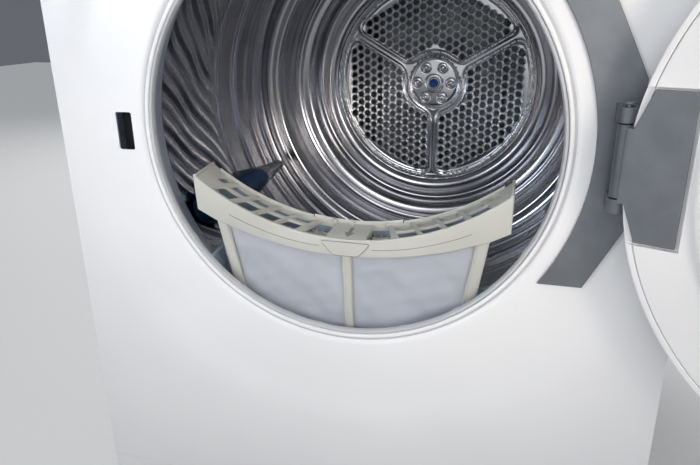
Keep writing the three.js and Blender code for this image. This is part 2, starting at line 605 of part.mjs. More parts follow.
function beltPath(wheels, offset) {
  const circles = wheels.map((wheel) => ({ ...wheel, r: wheel.r + wheel.side * offset }));
  const runs = circles.map((circle, i) => oriented(circle, circles[(i + 1) % circles.length]));
  const points = [];
  circles.forEach((circle, i) => {
    const arrive = runs[(i + circles.length - 1) % circles.length].end;
    const leave = runs[i].start;
    const a0 = Math.atan2(arrive[1] - circle.z, arrive[0] - circle.x);
    let sweep = Math.atan2(leave[1] - circle.z, leave[0] - circle.x) - a0;
    while (circle.side > 0 && sweep < 0) sweep += 2 * Math.PI;
    while (circle.side < 0 && sweep > 0) sweep -= 2 * Math.PI;
    const steps = Math.max(3, Math.ceil(Math.abs(sweep) / (2 * Math.PI / round)));
    for (let k = 0; k <= steps; k += 1) {
      const a = a0 + (sweep * k) / steps;
      points.push(vec(circle.x + circle.r * Math.cos(a), circle.z + circle.r * Math.sin(a)));
    }
  });
  return points;
}

function buildDrive() {
  // Two rollers carry the front of the drum.
  for (const [name, side] of [["left_roller", -1], ["right_roller", 1]]) {
    const [x, z] = rollerPlace(side);
    const w = roller.width;
    const wheel = turned([
      [roller.axle, 0], [roller.hubRadius, 0], [roller.hubRadius, 3], [roller.radius - 3, 3], [roller.radius - 3, 1],
      [roller.radius, 2], [roller.radius, w - 2], [roller.radius - 3, w - 1], [roller.radius - 3, w - 3],
      [roller.hubRadius, w - 3], [roller.hubRadius, w], [roller.axle, w],
    ], fine);
    add(name, wheel.translate(x, rollerFront, z), "rubber");
  }

  const beltY = front + beltSet.place;
  const pulleyBack = beltY + motor.pulleyWidth / 2;
  const motorFront = pulleyBack + 8;
  const motorRear = motorFront + motor.length;
  const fanFront = motorRear + 10 + fan.wall;

  // The motor's shaft carries the belt pulley in front and the blower behind.
  const pulley = turned([
    [0, beltY - motor.pulleyWidth / 2], [motor.pulleyRadius + 2, beltY - motor.pulleyWidth / 2],
    [motor.pulleyRadius, beltY - motor.pulleyWidth / 2 + 1.5], [motor.pulleyRadius, pulleyBack - 1.5],
    [motor.pulleyRadius + 2, pulleyBack], [motor.shaft, pulleyBack], [motor.shaft, fanFront + fan.width],
    [0, fanFront + fan.width],
  ], fine);
  add("motor_pulley", pulley.translate(motor.x, 0, motor.z), "castGrey");
  const stator = ring(motor.shaft + runGap, motor.radius, motorFront, motorRear, fine).translate(motor.x, 0, motor.z);
  const stand = cut(
    box(motor.x - 34, motor.x + 34, motorFront + 12, motorRear - 12, slabTop + gap, motor.z),
    disc(motor.shaft + runGap, motorFront - 1, motorRear + 1, fine).translate(motor.x, 0, motor.z),
  );
  add("drive_motor", join(stator, stand), "castGrey");

  const blades = Array.from({ length: fan.blades }, (_, i) => box(-fan.bladeThick / 2, fan.bladeThick / 2,
    fanFront, fanFront + fan.width - 3, fan.hubRadius - 2, fan.radius - 12).rotateY((2 * Math.PI * i) / fan.blades));
  const wheelBack = ring(motor.shaft + gap, fan.radius - 12, fanFront + fan.width - 4, fanFront + fan.width - 1, fine);
  const wheelHub = ring(motor.shaft + gap, fan.hubRadius, fanFront, fanFront + fan.width - 1, fine);
  add("blower_wheel", join(wheelBack, wheelHub, ...blades).translate(motor.x, 0, motor.z), "blackPlastic");

  // The blower's housing is a round box with an inlet behind and an outlet towards the middle.
  const casing = turned([
    [motor.shaft + 3, fanFront - 3 - fan.wall], [fan.radius, fanFront - 3 - fan.wall],
    [fan.radius, fanFront + fan.width + 3 + fan.wall], [fan.inlet, fanFront + fan.width + 3 + fan.wall],
    [fan.inlet, fanFront + fan.width + 3], [fan.radius - fan.wall, fanFront + fan.width + 3],
    [fan.radius - fan.wall, fanFront - 3], [motor.shaft + 3, fanFront - 3],
  ], fine).translate(motor.x, 0, motor.z);
  const outlet = box(motor.x - fan.radius - 5, motor.x - fan.radius / 2, fanFront, fanFront + fan.width, motor.z - 30, motor.z + 30);
  add("fan_housing", cut(casing, outlet), "greyPlastic");

  // The belt runs round the drum and the motor pulley, and the idler presses its back.
  const beltClear = (drum.radius + gap) / Math.cos(Math.PI / round) - drum.radius;
  const wheels = [
    { x: 0, z: axisHeight, r: drum.radius + beltClear + beltSet.thick / 2, side: 1 },
    { x: idler.x, z: idler.z, r: idler.radius + gap + 0.4 + beltSet.thick / 2, side: -1 },
    { x: motor.x, z: motor.z, r: motor.pulleyRadius + 2 + gap + beltSet.thick / 2, side: 1 },
  ];
  const order = [wheels[0], wheels[2], wheels[1]];
  const half = beltSet.thick / 2;
  const outline = new THREE.Shape(beltPath(order, half));
  outline.holes.push(new THREE.Path(beltPath(order, -half).reverse()));
  add("drum_belt", plate(outline, beltY - beltSet.width / 2, beltY + beltSet.width / 2), "rubber");

  const w = idler.width;
  add("idler_pulley", turned([
    [idler.axle, -w / 2], [idler.radius, -w / 2], [idler.radius, w / 2], [idler.axle, w / 2],
  ], fine).translate(idler.x, beltY, idler.z), "greyPlastic");
  // The idler's arm stands on the base behind the belt, with the axle at its top.
  const armY = beltY + w / 2 + 3;
  const arm = box(idler.x - idler.arm / 2, idler.x + idler.arm / 2, armY, armY + 5, slabTop + gap, idler.z + 6);
  const axle = disc(idler.axle - 0.3, beltY - w / 2 - 3, armY + 1, 12).translate(idler.x, 0, idler.z);
  const shoe = box(idler.x - 16, idler.x + 16, armY - 12, armY + 17, slabTop + gap, slabTop + gap + 4);
  add("idler_arm", join(arm, axle, shoe), "galvanised");
}

// ---- heat pump and water path ----
function finnedBlock(y0, y1) {
  const z0 = slabTop + gap;
  const z1 = z0 + coil.height;
  const block = box(coil.x0, coil.x1, y0, y1, z0, z1);
  const pitch = (coil.x1 - coil.x0) / (coil.fins + 1);
  const gaps = Array.from({ length: coil.fins }, (_, i) => {
    const x = coil.x0 + (i + 1) * pitch;
    return box(x - coil.finGap / 2, x + coil.finGap / 2, y0 - 1, y1 + 1, z0 + 14, z1 + 1);
  });
  return cut(block, ...gaps);
}

function buildHeatPump() {
  const y0 = front + coil.fromFront;
  const y1 = y0 + coil.evaporator;
  const y2 = y1 + coil.between;
  const y3 = y2 + coil.condenser;
  add("evaporator", finnedBlock(y0, y1), "castGrey");
  add("condenser_coil", finnedBlock(y2, y3), "castGrey");

  const cx = compressor.x;
  const cy = front + compressor.fromFront;
  const z0 = slabTop + gap;
  const r = compressor.radius;
  const h = compressor.height;
  const can = [[0, z0], [r - 6, z0], [r, z0 + 10], [r, z0 + h - 26], [r - 22, z0 + h - 4], [0, z0 + h]];
  add("compressor", turnedUpright(can).translate(cx, cy, 0), "blackPlastic");

  // A pipe from the top of the compressor, forward and down to the condenser.
  const top = z0 + h + 2 * gap;
  add("refrigerant_pipe", bar([
    [cx, cy, top], [cx, cy, top + 14], [cx, cy - 60, top + 26], [cx, y3 + 16, top + 8], [cx, y3 + 8, top - 60],
    [cx, y3 + 8, slabTop + 12],
  ], pipe.radius, 16), "copper");

  const pumpY = front + pump.fromFront;
  const px = pump.x;
  const housing = box(px - pump.width / 2, px + pump.width / 2, pumpY - pump.depth / 2, pumpY + pump.depth / 2 - 6, z0, z0 + 34);
  const head = rod(20, z0 + 30, z0 + pump.height, 16).translate(px, pumpY - 4, 0);
  add("condensate_pump", join(housing, head), "blackPlastic");

  // The hose climbs the rear left corner to the back of the water tank.
  const hoseX = -innerHalf + 14;
  const hoseY = rear - 24;
  const port = tankPlace();
  add("condensate_hose", bar([
    [px, pumpY - 4, z0 + pump.height + 2 * gap], [px, pumpY - 4, z0 + pump.height + 14], [px - 60, hoseY, z0 + pump.height + 26],
    [hoseX + 8, hoseY, z0 + pump.height + 60], [hoseX, hoseY, z0 + 260], [hoseX, hoseY, port.z - 60],
    [hoseX + 6, hoseY - 10, port.z - 8], [port.x - 30, hoseY - 60, port.z], [port.x - 30, port.rear + 2, port.z],
  ], 6, 36, 6), "rubber");
}

// ---- controls and water tank ----
function tankPlace() {
  const left = -halfWidth + cabinet.sheet + runGap + 1;
  const bottom = coverBottom - runGap - tank.height - 6;
  return {
    left, bottom, x: left + tank.width / 2, rear: front + tank.length, z: bottom + tank.height / 2,
    right: left + tank.width,
  };
}

function buildControls() {
  const place = tankPlace();
  const faceY = front - controlPanel.proud;
  const z0 = panelBottom;
  const z1 = coverBottom - gap;
  const leftEdge = place.right + runGap + 1;
  const rightEdge = halfWidth;
  const shelf = box(leftEdge, rightEdge, faceY, front + controlPanel.depth, z0, z1);
  const behind = box(rightEdge - cabinet.sheet - gap, rightEdge + 1, front, front + controlPanel.depth + 1, z0 - 1, z1 + 1);
  const midZ = (z0 + z1) / 2;
  const displayCut = box(display.x - display.width / 2 - gap, display.x + display.width / 2 + gap, faceY - 1,
    faceY + display.thick + gap, midZ - display.height / 2 - gap, midZ + display.height / 2 + gap);
  const buttonCut = box(button.x - button.width / 2 - gap, button.x + button.width / 2 + gap, faceY - 1,
    faceY + button.depth + button.travel + gap, midZ - button.height / 2 - gap, midZ + button.height / 2 + gap);
  const spindleCut = disc(6, faceY - 1, faceY + 14, 16).translate(knob.x, 0, midZ);
  add("control_panel", cut(shelf, behind, displayCut, buttonCut, spindleCut), "whiteEnamel");

  add("display_window", box(display.x - display.width / 2, display.x + display.width / 2, faceY, faceY + display.thick,
    midZ - display.height / 2, midZ + display.height / 2), "tintedGlass");

  // The selector knob: a skirt, a grip and a spindle in the panel.
  const y = faceY - 0.6;
  add("selector_knob", turned([
    [0, y - knob.height], [knob.radius - 3, y - knob.height], [knob.radius, y - knob.height + 3], [knob.radius, y - 4],
    [knob.skirt, y - 3], [knob.skirt, y], [5, y], [5, y + 12], [0, y + 12],
  ]).translate(knob.x, 0, midZ), "stainless");

  add("start_button", box(button.x - button.width / 2, button.x + button.width / 2, faceY - button.travel,
    faceY + button.depth, midZ - button.height / 2, midZ + button.height / 2), "stainless");

  // The water tank is a long open-topped container behind its own front.
  const w = tank.wall;
  const tankFront = front + 3;
  const outer = box(place.left, place.right, tankFront, place.rear, place.bottom, place.bottom + tank.height);
  const inside = box(place.left + w, place.right - w, tankFront + w, place.rear - w, place.bottom + w,
    place.bottom + tank.height + 1);
  const face = box(-halfWidth, place.right + runGap, faceY, faceY + tank.frontThick, z0, z1);
  const neck = box(place.left + 4, place.right - 4, faceY + tank.frontThick - 1, tankFront + 1, place.bottom + 2,
    place.bottom + tank.height - 2);
  const pull = box(-halfWidth + 22, place.right - 22, faceY - tank.lipOut, faceY + 1, z1 - 12, z1 - 6);
  add("water_tank", join(cut(outer, inside), face, neck, pull), "whiteEnamel");
}

// ---- door and hinge ----
function crescent(innerRadius, outerX, half) {
  // A plate between a circle about the opening's centre and a straight edge beside the hinge.
  const shape = new THREE.Shape();
  const a = Math.asin(half / innerRadius);
  shape.absarc(0, 0, innerRadius, a, -a, true);
  shape.lineTo(outerX - 30, -half);
  shape.lineTo(outerX, -half * 0.5);
  shape.lineTo(outerX, half * 0.5);
  shape.lineTo(outerX - 30, half);
  return shape;
}

function buildHinge() {
  const plateBack = front - gap;
  const plateFront = plateBack - hinge.plate;
  const pivotY = front - hinge.forward;
  const leaf = plate(crescent(doorRadius - hinge.cover + 6, hingeX + hinge.reach, hinge.half), plateFront, plateBack, 16).translate(0, 0, openingHeight);
  const ears = [-1, 1].flatMap((side) => {
    const mid = side * (hinge.span / 2 + hinge.ear / 2);
    const z0 = openingHeight + mid - hinge.ear / 2;
    const knuckle = rod(hinge.earRadius, z0, z0 + hinge.ear, 16).translate(hingeX, pivotY, 0);
    const web = box(hingeX - hinge.earRadius + 1, hingeX + hinge.earRadius - 1, pivotY, plateFront + 1, z0, z0 + hinge.ear);
    return [knuckle, web];
  });
  const pinTop = openingHeight + hinge.span / 2 + hinge.ear + 2;
  const pinBottom = openingHeight - hinge.span / 2 - hinge.ear - 2;
  const bore = rod(hinge.pin + 0.3, pinBottom - 1, pinTop + 1, 16).translate(hingeX, pivotY, 0);
  add("hinge_bracket", cut(join(leaf, ...ears), bore), "castGrey");
  add("hinge_pin", turnedUpright([
    [0, pinBottom], [hinge.pin, pinBottom], [hinge.pin, pinTop], [hinge.pin + 2, pinTop],
    [hinge.pin + 2, pinTop + 2], [0, pinTop + 2],
  ], 16).translate(hingeX, pivotY, 0), "castGrey");

  // Everything on the door is drawn closed and then swung open about the pivot.
  const swung = (geometry) => geometry.clone().translate(-hingeX, -pivotY, 0).rotateZ(degrees(door.open))
    .translate(hingeX, pivotY, 0);
  const back = -door.back;
  const face = back - door.thick;
  const inner = doorRadius - door.ringWidth;
  const linerInner = doorRadius - 5 - door.linerWidth;
  const leafSeat = box(doorRadius - 46, hingeX + hinge.reach, front + back - 4, front + 1, openingHeight - hinge.span, openingHeight + hinge.span);

  const ringBody = turned([
    [inner, face + 3], [inner + 6, face], [doorRadius - 12, face], [doorRadius, face + 10], [doorRadius, back],
    [doorRadius - 5, back], [doorRadius - 5, face + 14], [inner + 3, face + 10], [inner + 3, back - 10], [inner, back - 10],
  ]).translate(0, front, openingHeight);
  const armPocket = box(hingeX - 16, hingeX + 12, pivotY - 12, front + 1, openingHeight - hinge.span / 2 + 0.5, openingHeight + hinge.span / 2 - 0.5);
  add("door_ring", swung(cut(ringBody, leafSeat, armPocket)), "whiteEnamel");

  const glassRim = inner - gap;
  add("door_glass", swung(turned([
    [0, face - door.dome + 5], [glassRim * 0.5, face - door.dome * 0.7 + 5], [glassRim * 0.85, face + 2.5], [glassRim, face + 5],
    [glassRim, face + 5 + door.glassThick], [glassRim * 0.85, face + 2.5 + door.glassThick],
    [glassRim * 0.5, face - door.dome * 0.7 + 5 + door.glassThick], [0, face - door.dome + 5 + door.glassThick],
  ]).translate(0, front, openingHeight)), "tintedGlass");

  // The liner closes the back of the ring and holds the shallow bowl.
  const linerOuter = doorRadius - 5 - gap;
  add("door_liner", swung(cut(turned([
    [linerInner, back - door.linerThick], [linerOuter, back - door.linerThick], [linerOuter, back],
    [linerInner + 36, back], [linerInner + 30, back + 5], [linerInner, back + 5],
  ]).translate(0, front, openingHeight), leafSeat, armPocket)), "whiteEnamel");

  const bowlRim = linerInner - gap;
  const b = back + 5;
  add("door_bowl", swung(turned([
    [0, b + 1 - door.bowlDepth], [bowlRim * 0.7, b - door.bowlDepth + 3], [bowlRim, b - 3], [bowlRim, b - 3 - door.bowlThick],
    [bowlRim * 0.7, b - door.bowlDepth + 3 - door.bowlThick], [0, b + 1 - door.bowlDepth - door.bowlThick],
  ]).translate(0, front, openingHeight)), "tintedGlass");

  // The hinge arm: a leaf in the back of the door, and a barrel between the bracket's ears.
  const armLeafBack = front + back;
  const armLeafFront = armLeafBack - 4 + gap;
  const halfArm = hinge.span / 2 - runGap;
  const leafHalf = hinge.span - 2;
  const leafShape = new THREE.Shape([
    vec(hingeX - 49, -leafHalf), vec(hingeX - 20, -leafHalf), vec(hingeX - 9, -halfArm), vec(hingeX - 9, halfArm),
    vec(hingeX - 20, leafHalf), vec(hingeX - 49, leafHalf),
  ]);
  const armLeaf = plate(leafShape, armLeafFront, armLeafBack).translate(0, 0, openingHeight);
  const barrel = rod(hinge.earRadius - 1, openingHeight - halfArm, openingHeight + halfArm, 16)
    .translate(hingeX, pivotY, 0);
  const armWeb = box(hingeX - 12, hingeX - 4, pivotY - 3, armLeafBack, openingHeight - halfArm, openingHeight + halfArm);
  add("door_hinge_arm", swung(cut(join(armLeaf, armWeb, barrel), bore)), "castGrey");

  // The hook stands on the liner at the far side and enters the lock when the door shuts.
  const hx = -lockX;
  const hook = join(
    box(hx - door.hookWidth / 2, hx + door.hookWidth / 2, front + back + gap, front + back + 3, openingHeight - door.hookHeight / 2,
      openingHeight + door.hookHeight / 2),
    box(hx - 2, hx + 2, front + back + 1, front + 12, openingHeight - 9, openingHeight + 9),
    box(hx - 2, hx + 5, front + 8, front + 12, openingHeight - 9, openingHeight + 9),
  );
  add("door_hook", swung(hook), "greyPlastic");

  // The lock is a box behind the panel, open where the hook comes in.
  const lockBody = box(-lockX - lock.width / 2 - 3, -lockX + lock.width / 2 - 7, front + cabinet.sheet + gap + 12,
    front + cabinet.sheet + lock.depth, openingHeight - lock.height / 2 - 4, openingHeight + lock.height / 2 + 4);
  add("door_lock", lockBody, "blackPlastic");
}

buildCabinet();
buildFront();
buildFilter();
buildDrum();
buildDuct();
buildDrive();
buildHeatPump();
buildControls();
buildHinge();

export default dryer;
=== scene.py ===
import json
import math

import bmesh
import bpy
import numpy as np
from mathutils import Matrix, Vector, geometry

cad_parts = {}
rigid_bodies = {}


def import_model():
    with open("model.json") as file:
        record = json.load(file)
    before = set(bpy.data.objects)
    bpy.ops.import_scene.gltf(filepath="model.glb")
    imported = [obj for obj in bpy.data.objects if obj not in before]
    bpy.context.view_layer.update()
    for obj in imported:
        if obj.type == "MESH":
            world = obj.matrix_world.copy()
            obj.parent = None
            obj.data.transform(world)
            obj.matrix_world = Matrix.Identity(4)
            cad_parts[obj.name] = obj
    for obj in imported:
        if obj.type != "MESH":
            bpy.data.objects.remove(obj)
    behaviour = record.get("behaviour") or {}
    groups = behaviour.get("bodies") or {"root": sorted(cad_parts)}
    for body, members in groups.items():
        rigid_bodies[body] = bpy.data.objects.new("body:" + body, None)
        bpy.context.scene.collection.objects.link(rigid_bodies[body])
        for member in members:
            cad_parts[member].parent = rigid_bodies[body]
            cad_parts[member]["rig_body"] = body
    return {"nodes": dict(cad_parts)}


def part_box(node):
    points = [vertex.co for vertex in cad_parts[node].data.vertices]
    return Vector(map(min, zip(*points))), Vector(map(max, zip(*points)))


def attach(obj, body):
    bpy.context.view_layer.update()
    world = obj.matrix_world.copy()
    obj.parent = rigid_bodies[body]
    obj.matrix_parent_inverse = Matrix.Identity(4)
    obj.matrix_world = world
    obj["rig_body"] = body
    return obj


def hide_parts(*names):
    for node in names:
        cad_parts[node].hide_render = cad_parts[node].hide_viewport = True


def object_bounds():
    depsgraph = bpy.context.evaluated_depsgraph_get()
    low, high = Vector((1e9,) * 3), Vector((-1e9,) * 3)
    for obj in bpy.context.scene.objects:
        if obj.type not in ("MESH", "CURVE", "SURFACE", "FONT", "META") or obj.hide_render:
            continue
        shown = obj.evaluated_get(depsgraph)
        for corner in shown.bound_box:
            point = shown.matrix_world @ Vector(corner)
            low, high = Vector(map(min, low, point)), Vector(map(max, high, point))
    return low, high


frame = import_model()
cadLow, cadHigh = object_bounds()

# A clothes dryer with its door open and its lint filter half drawn out.
# Pieces are worked out in millimetres and put into the scene in metres.
mm = 0.001
scene = bpy.context.scene
turn = 2 * math.pi


def eased(value):
    # a smooth step from 0 to 1: 3s^2 - 2s^3
    s = np.clip(value, 0, 1)
    return s * s * (3 - 2 * s)


def bell(value):
    # a bell curve: e to the power of minus the square
    return np.exp(-(value ** 2))


def boxOf(node):
    # lowest and highest corner of a frame node, in millimetres
    low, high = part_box(node)
    return np.array(low) / mm, np.array(high) / mm


# camera, floor and light

cameraPlace = {
    "location": (0.166, -0.8692, 0.617),  # metres
    "yaw": -16.15,  # degrees, turned towards the left
    "pitch": -19.85,  # degrees, looking down
    "roll": -0.70,
    "lens": 32.22,
    "sensor": 36.0,
}


def makeCamera():
    place = cameraPlace
    yaw, pitch, roll = (math.radians(place[k]) for k in ("yaw", "pitch", "roll"))
    ahead = Vector((math.sin(yaw) * math.cos(pitch), math.cos(yaw) * math.cos(pitch), math.sin(pitch)))
    level = Vector((math.cos(yaw), -math.sin(yaw), 0))
    above = level.cross(ahead)
    right = level * math.cos(roll) + above * math.sin(roll)
    up = above * math.cos(roll) - level * math.sin(roll)
    data = bpy.data.cameras.new("camera")
    data.lens, data.sensor_width = place["lens"], place["sensor"]
    data.clip_start, data.clip_end = 0.01, 50
    camera = bpy.data.objects.new("camera", data)
    facing = Matrix((right, up, -ahead)).transposed().to_4x4()
    camera.matrix_world = Matrix.Translation(place["location"]) @ facing
    scene.collection.objects.link(camera)
    scene.camera = camera


def toLinear(hexColour):
    # each channel of an sRGB hex value: v / 12.92 below 0.04045, else ((v + 0.055) / 1.055) ^ 2.4
    value = np.array([int(hexColour[i:i + 2], 16) / 255 for i in (1, 3, 5)])
    linear = np.where(value <= 0.04045, value / 12.92, ((value + 0.055) / 1.055) ** 2.4)
    return (*linear.tolist(), 1.0)


def addNode(tree, kind, links=None, stops=None, into=None, **settings):
    # adds one node with its settings; links holds an input's value or the output that feeds it, and into is
    # the input that its first output feeds
    node = tree.nodes.new(kind)
    for key, value in settings.items():
        setattr(node, key, value)
    for key, value in (links or {}).items():
        if isinstance(value, bpy.types.NodeSocket):
            tree.links.new(value, node.inputs[key])
        else:
            node.inputs[key].default_value = value
    for i, (place, value) in enumerate(stops or []):
        elements = node.color_ramp.elements
        element = elements[i] if i < len(elements) else elements.new(place)
        element.position = place
        element.color = toLinear(value) if isinstance(value, str) else (value, value, value, 1)
    if into is not None:
        tree.links.new(node.outputs[0], into)
    return node


studio = {
    "skyStrength": 0.9,
    "floor": "#E4E4E2",
    # name: place, size in metres, power in watts, colour
    "lamps": {
        "key": ((-0.9, -2.0, 2.1), 1.5, 7.2, "#FFFFFF"),
        "fill": ((1.7, -1.6, 1.3), 1.4, 5, "#FFFAF4"),
        "low": ((-0.5, -2.7, 0.35), 1.8, 4.6, "#FFFFFF"),
        "behind": ((-1.2, 2.2, 1.9), 1.6, 30, "#FFFFFF"),
    },
    # lamps with a narrow spread, in degrees, that reach into the drum
    "spots": {
        "intoDrum": ((0.10, -1.35, 1.05), 1.1, 0.66, "#FFFFFF", (0.0, 0.15, 0.47), 34),
        "intoLeft": ((0.75, -1.25, 0.75), 0.4, 0.35, "#FFF4E8", (-0.12, 0.0, 0.46), 36),
        "intoRight": ((-0.75, -1.2, 0.8), 0.4, 0.3, "#EAF2FF", (0.12, 0.0, 0.46), 36),
    },
    "lookAt": (0.0, -0.1, 0.45),
}


def makeStudio():
    world = bpy.data.worlds.new("studio")
    world.use_nodes = True
    tree = world.node_tree
    tree.nodes.clear()
    # the room is pale above and in front, and darker low down, so that metal has something to mirror
    where = addNode(tree, "ShaderNodeTexCoord")
    split = addNode(tree, "ShaderNodeSeparateXYZ", {0: where.outputs["Generated"]})
    ramp = addNode(tree, "ShaderNodeValToRGB", {0: split.outputs["Z"]},
                   stops=[(0.0, "#6A6D73"), (0.42, "#3C475C"), (0.55, "#A9AEB6"), (1.0, "#F4F5F7")])
    sky = addNode(tree, "ShaderNodeBackground", {"Color": ramp.outputs[0], "Strength": studio["skyStrength"]})
    addNode(tree, "ShaderNodeOutputWorld", {"Surface": sky.outputs[0]})
    scene.world = world
    lamps = {name: (*rest, studio["lookAt"], 180) for name, rest in studio["lamps"].items()}
    for name, (place, size, power, colour, target, spread) in {**lamps, **studio["spots"]}.items():
        lamp = bpy.data.lights.new(name, "AREA")
        lamp.size, lamp.energy, lamp.color = size, power, toLinear(colour)[:3]
        lamp.spread = math.radians(spread)
        holder = bpy.data.objects.new(name, lamp)
        holder.location = place
        holder.rotation_euler = (Vector(target) - Vector(place)).to_track_quat("-Z", "Y").to_euler()
        scene.collection.objects.link(holder)
    scene.view_settings.view_transform = "Standard"
    scene.view_settings.look = "None"


makeCamera()
makeStudio()
print("camera and studio made")


# meshes from arrays

def grid(points, closeRows=False, closeColumns=False):
    # quads between neighbouring rows and columns; a form that closes is turned until its volume is positive
    rows, columns = points.shape[:2]
    i = np.arange(rows if closeRows else rows - 1)[:, None]
    j = np.arange(columns if closeColumns else columns - 1)[None, :]
    k, l = (i + 1) % rows, (j + 1) % columns
    quads = np.stack([i * columns + j, i * columns + l, k * columns + l, k * columns + j], -1).reshape(-1, 4)
    # the map holds the distance round the form and the distance along its profile, in metres
    ringOf = np.append(points, points[:, :1], 1)
    profile = np.append(points, points[:1], 0)
    around = np.append(0, np.linalg.norm(np.diff(ringOf, axis=1), axis=2).mean(0).cumsum()) * mm
    along = np.append(0, np.linalg.norm(np.diff(profile, axis=0), axis=2).mean(1).cumsum()) * mm
    flat = np.zeros(i.shape[:1] + j.shape[1:])
    corners = [(j, i), (j + 1, i), (j + 1, i + 1), (j, i + 1)]
    layout = np.stack([np.stack([around[a] + flat, along[b] + flat], -1) for a, b in corners], 2)
    layout = layout.reshape(-1, 4, 2)
    place = points.reshape(-1, 3)
    a, b, c, d = (place[quads[:, n]] for n in range(4))
    volume = (np.cross(b, c) * a).sum() + (np.cross(c, d) * a).sum()
    if (closeRows or closeColumns) and volume < 0:
        quads, layout = quads[:, ::-1], layout[:, ::-1]
    return place, quads, layout


def softened(corners, steps=6, closed=True):
    # each corner (a, b, reach) becomes (1-t)^2 start + 2t(1-t) corner + t^2 end, whose ends lie reach
    # away on its edges
    corners = np.array(corners, float)
    place, size = corners[:, :2], corners[:, 2]
    before, after = np.roll(place, 1, 0) - place, np.roll(place, -1, 0) - place
    lengths = [np.maximum(np.linalg.norm(v, axis=1), 1e-9) for v in (before, after)]
    reach = np.minimum(size, 0.48 * np.minimum(*lengths))
    if not closed:
        reach[[0, -1]] = 0
    start = place + before * (reach / lengths[0])[:, None]
    end = place + after * (reach / lengths[1])[:, None]
    t = np.linspace(0, 1, steps)[None, :, None]
    curve = (1 - t) ** 2 * start[:, None] + 2 * t * (1 - t) * place[:, None] + t ** 2 * end[:, None]
    line = curve.reshape(-1, 2)
    apart = np.append(True, np.linalg.norm(np.diff(line, axis=0), axis=1) > 1e-6)
    return line[apart]


def revolve(profile, sides=144, centre=(0, 0)):
    # a (radius, y) profile turned about an axis along Y
    angle = np.linspace(0, turn, sides, endpoint=False)
    radius, height = np.asarray(profile, float).T[:, :, None]
    across = centre[0] + radius * np.cos(angle)
    up = centre[1] + radius * np.sin(angle)
    return grid(np.stack([across, height + 0 * angle, up], -1), True, True)


def loft(sections):
    # closed sections one after another, with each end drawn together to its middle
    ends = np.repeat(sections[[0, -1]].mean(1, keepdims=True), sections.shape[1], 1)
    return grid(np.concatenate([ends[:1], sections, ends[1:]]), False, True)


def roundedSection(width, height, radius, steps=4):
    # a rectangle whose corners are quarter circles: corner centre + radius (cos, sin)
    radius = min(radius, 0.499 * width, 0.499 * height)
    angle = (np.arange(4)[:, None] * math.pi / 2 + np.linspace(0, math.pi / 2, steps)[None, :]).ravel()
    middle = np.repeat(np.arange(4) * math.pi / 2 + math.pi / 4, steps)
    across = np.sign(np.cos(middle)) * (width / 2 - radius) + radius * np.cos(angle)
    up = np.sign(np.sin(middle)) * (height / 2 - radius) + radius * np.sin(angle)
    return np.stack([across, up], -1)


def sweep(path, section):
    # a section carried along a path: point + side * across + rise * height, with side level and square to
    # the path
    path = np.asarray(path, float)
    heading = np.gradient(path, axis=0)
    heading /= np.linalg.norm(heading, axis=1, keepdims=True)
    side = np.cross(heading, np.array([0.0, 0.0, 1.0]))
    side /= np.maximum(np.linalg.norm(side, axis=1, keepdims=True), 1e-9)
    rise = np.cross(side, heading)
    return loft(path[:, None] + side[:, None] * section[None, :, :1] + rise[:, None] * section[None, :, 1:])


def roundedBox(low, high, radius, steps=4):
    # rounded rectangles along X that shrink at both ends as a quarter circle does
    low, high = np.array(low, float), np.array(high, float)
    size = high - low
    radius = min(radius, 0.49 * size.min())
    quarter = np.linspace(math.pi / 2, 0, steps)
    shrink = radius * (1 - np.cos(quarter))
    offset = radius * (1 - np.sin(quarter))
    xs = np.concatenate([low[0] + offset, high[0] - offset[::-1]])
    section = roundedSection(size[1], size[2], radius)
    inward = np.sign(section) * np.concatenate([shrink, shrink[::-1]])[:, None, None]
    flat = section[None] - inward
    middle = (low + high) / 2
    sections = np.stack([xs[:, None] + 0 * flat[..., 0], middle[1] + flat[..., 0],
                         middle[2] + flat[..., 1]], -1)
    return loft(sections)


def prism(outline, y0, y1):
    # an outline in X and Z with a face at each end and a wall between
    outline = np.asarray(outline, float)
    area = (outline[:, 0] * np.roll(outline[:, 1], -1) - outline[:, 1] * np.roll(outline[:, 0], -1)).sum()
    outline = outline if area > 0 else outline[::-1]
    count = len(outline)
    place = np.concatenate([np.insert(outline, 1, y, axis=1) for y in (y0, y1)])
    ids = np.arange(count)
    after = (ids + 1) % count
    walls = np.stack([after, after + count, ids + count, ids], -1)
    faces = [ids.tolist(), (ids[::-1] + count).tolist(), *walls.tolist()]
    return place, faces, None


def meshOf(name, shells):
    places, faces, layouts, first = [], [], [], 0
    for place, quads, layout in shells:
        quads = quads.tolist() if isinstance(quads, np.ndarray) else quads
        faces += [[n + first for n in face] for face in quads]
        corners = sum(len(face) for face in quads)
        layouts.append(np.zeros((corners, 2)) if layout is None else layout.reshape(-1, 2))
        places.append(place)
        first += len(place)
    mesh = bpy.data.meshes.new(name)
    mesh.from_pydata((np.concatenate(places) * mm).tolist(), [], faces)
    layer = mesh.uv_layers.new(name="surface")
    layer.data.foreach_set("uv", np.concatenate(layouts).astype(np.float32).ravel())
    merged = bmesh.new()
    merged.from_mesh(mesh)
    bmesh.ops.remove_doubles(merged, verts=merged.verts, dist=2e-6)
    bmesh.ops.dissolve_degenerate(merged, edges=merged.edges, dist=1e-7)
    merged.to_mesh(mesh)
    merged.free()
    return mesh


def shadeSmooth(mesh, angle):
    mesh.polygons.foreach_set("use_smooth", np.ones(len(mesh.polygons), bool))
    mesh.set_sharp_from_angle(angle=math.radians(angle))


